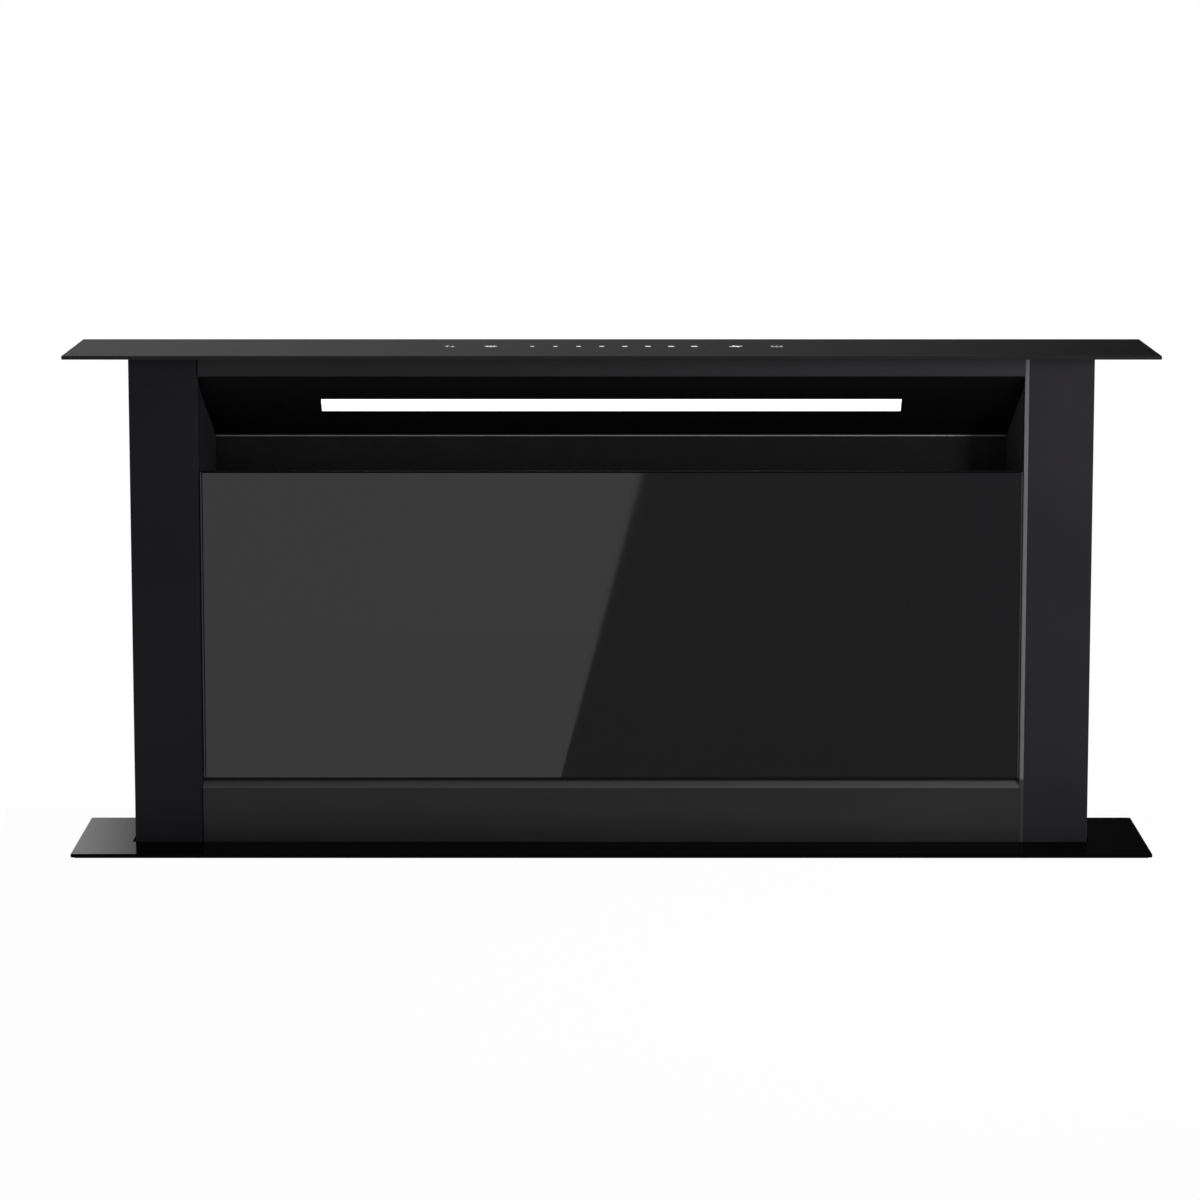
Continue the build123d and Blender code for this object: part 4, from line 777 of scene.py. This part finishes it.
def stage_object(name, corners, faces, material):
    """A flat object that isn't part of the vent."""
    mesh = bpy.data.meshes.new(name)
    mesh.from_pydata(corners, [], faces)
    mesh.materials.append(material)
    obj = bpy.data.objects.new(name, mesh)
    bpy.context.scene.collection.objects.link(obj)
    return obj


hole_left, hole_front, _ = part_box("chassis_front")[0]
hole_right, hole_back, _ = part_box("chassis_back")[1]
floor_outline = [
    (-floor_front_half, floor_front),
    (floor_front_half, floor_front),
    (floor_back_half, floor_back),
    (-floor_back_half, floor_back),
]
hole_outline = [
    (hole_left - hole_gap, hole_front - hole_gap),
    (hole_right + hole_gap, hole_front - hole_gap),
    (hole_right + hole_gap, hole_back + hole_gap),
    (hole_left - hole_gap, hole_back + hole_gap),
]
floor_corners = [(x, y, floor_level) for x, y in floor_outline + hole_outline]
floor_faces = [(k, (k + 1) % 4, (k + 1) % 4 + 4, k + 4) for k in range(4)]
stage_object("pale_floor", floor_corners, floor_faces, floor_material("floor_look"))


# ---------------------------------------------------------------- studio: world, flags and lamps
def studio_world(seen_color, seen_level, soft_color, soft_level):
    """One light for what is seen directly, mirrored or through glass, and one for the rest."""
    world = bpy.data.worlds.new("studio")
    bpy.context.scene.world = world
    sky = Nodes(world)
    lights = []
    for color, level in ((soft_color, soft_level), (seen_color, seen_level)):
        background = sky.add("ShaderNodeBackground")
        background.inputs["Color"].default_value = (*color, 1.0)
        background.inputs["Strength"].default_value = level
        lights.append(background.outputs["Background"])
    output = sky.add("ShaderNodeOutputWorld")
    sky.link(sky.blended(sky.seen("Is Transmission Ray"), *lights), output.inputs["Surface"])


studio_world(seen_color=grey(1.0), seen_level=1.0, soft_color=(0.96, 0.98, 1.0), soft_level=0.28)


def flag(name, corners, levels, fall):
    """A studio card that only reflections show, its grey going evenly between two places along X."""
    shader = Shader(f"{name}_look", grey(0.0), roughness=1.0)
    glow = shader.add("ShaderNodeEmission")
    level = shader.span(shader.axes(shader.place)["X"], *levels, *fall)
    shader.link(level, glow.inputs["Strength"])
    shader.show(glow.outputs["Emission"])
    obj = stage_object(name, corners, [tuple(range(len(corners)))], shader.material)
    obj.visible_camera = False
    obj.visible_diffuse = False
    obj.visible_shadow = False
    obj.visible_transmission = False


def upright_flag(name, y, x_span, z_span, levels, fall=None):
    """A flag across the view, whose grey falls from end to end if no places are given."""
    (left, right), (bottom, top) = x_span, z_span
    corners = [(left, y, bottom), (right, y, bottom), (right, y, top), (left, y, top)]
    flag(name, corners, levels, fall or x_span)


front_z = 0.0015
front_outline = [(-0.0446, -0.304), (0.06, -2.8), (0.95, -2.8), (0.50, -0.16)]
front_levels, front_fall = (0.27, 0.24), (-0.05, 0.6)
flag("front_flag", [(x, y, front_z) for x, y in front_outline], front_levels, front_fall)

back_y, beside_y, back_heights = 2.6, 2.61, (-0.2, 2.4)
back_left, back_right, back_end = -1.1, 1.0, 4.0
bright, dark = 0.18, 0.002
upright_flag("back_flag", back_y, (back_left, back_right), back_heights, (bright, dark))
upright_flag("back_flag_left", beside_y, (-back_end, back_left), back_heights, (bright, bright))
upright_flag("back_flag_right", beside_y, (back_right, back_end), back_heights, (dark, dark))

tip_y, tip_width, tip_heights = 0.45, (-0.85, -0.42), (0.01, 0.32)
tip_levels, tip_fall = (1.55, 0.66), (-0.50, -0.44)
upright_flag("tip_flag", tip_y, tip_width, tip_heights, tip_levels, tip_fall)


def soft_box(name, place, target, size, power):
    """A square soft box that faces a point, unseen by the camera and in reflections."""
    data = bpy.data.lights.new(name, "AREA")
    data.shape = "RECTANGLE"
    data.size = size
    data.size_y = size
    data.energy = power
    obj = bpy.data.objects.new(name, data)
    bpy.context.scene.collection.objects.link(obj)
    obj.location = place
    obj.rotation_euler = (Vector(target) - Vector(place)).to_track_quat("-Z", "Y").to_euler()
    obj.visible_camera = False
    obj.visible_glossy = False


soft_box("key_box", place=(0.80, -0.62, 0.46), target=(0.25, 0.0, 0.30), size=0.16, power=6.5)
soft_box("fill_box", place=(-1.6, -2.4, 0.9), target=(0.0, 0.0, 0.1), size=1.2, power=3.3)
soft_box("side_box", place=(-1.3, -0.16, 0.25), target=(0.34, -0.02, 0.2), size=0.3, power=2.0)
soft_box("low_box", place=(1.2, -2.6, -0.9), target=(0.1, -0.1, -0.4), size=1.2, power=12.0)


# ---------------------------------------------------------------- camera
camera_place = (-0.0093, -3.524, 0.7345)
camera_pitch = 8.6
camera_lens, camera_sensor = 129.9, 36.0

camera_data = bpy.data.cameras.new("camera")
camera_data.lens = camera_lens
camera_data.sensor_width = camera_sensor
camera = bpy.data.objects.new("camera", camera_data)
bpy.context.scene.collection.objects.link(camera)
camera.location = camera_place
camera.rotation_euler = (radians(90.0 - camera_pitch), 0.0, 0.0)
bpy.context.scene.camera = camera
bpy.context.scene.view_settings.view_transform = "Standard"
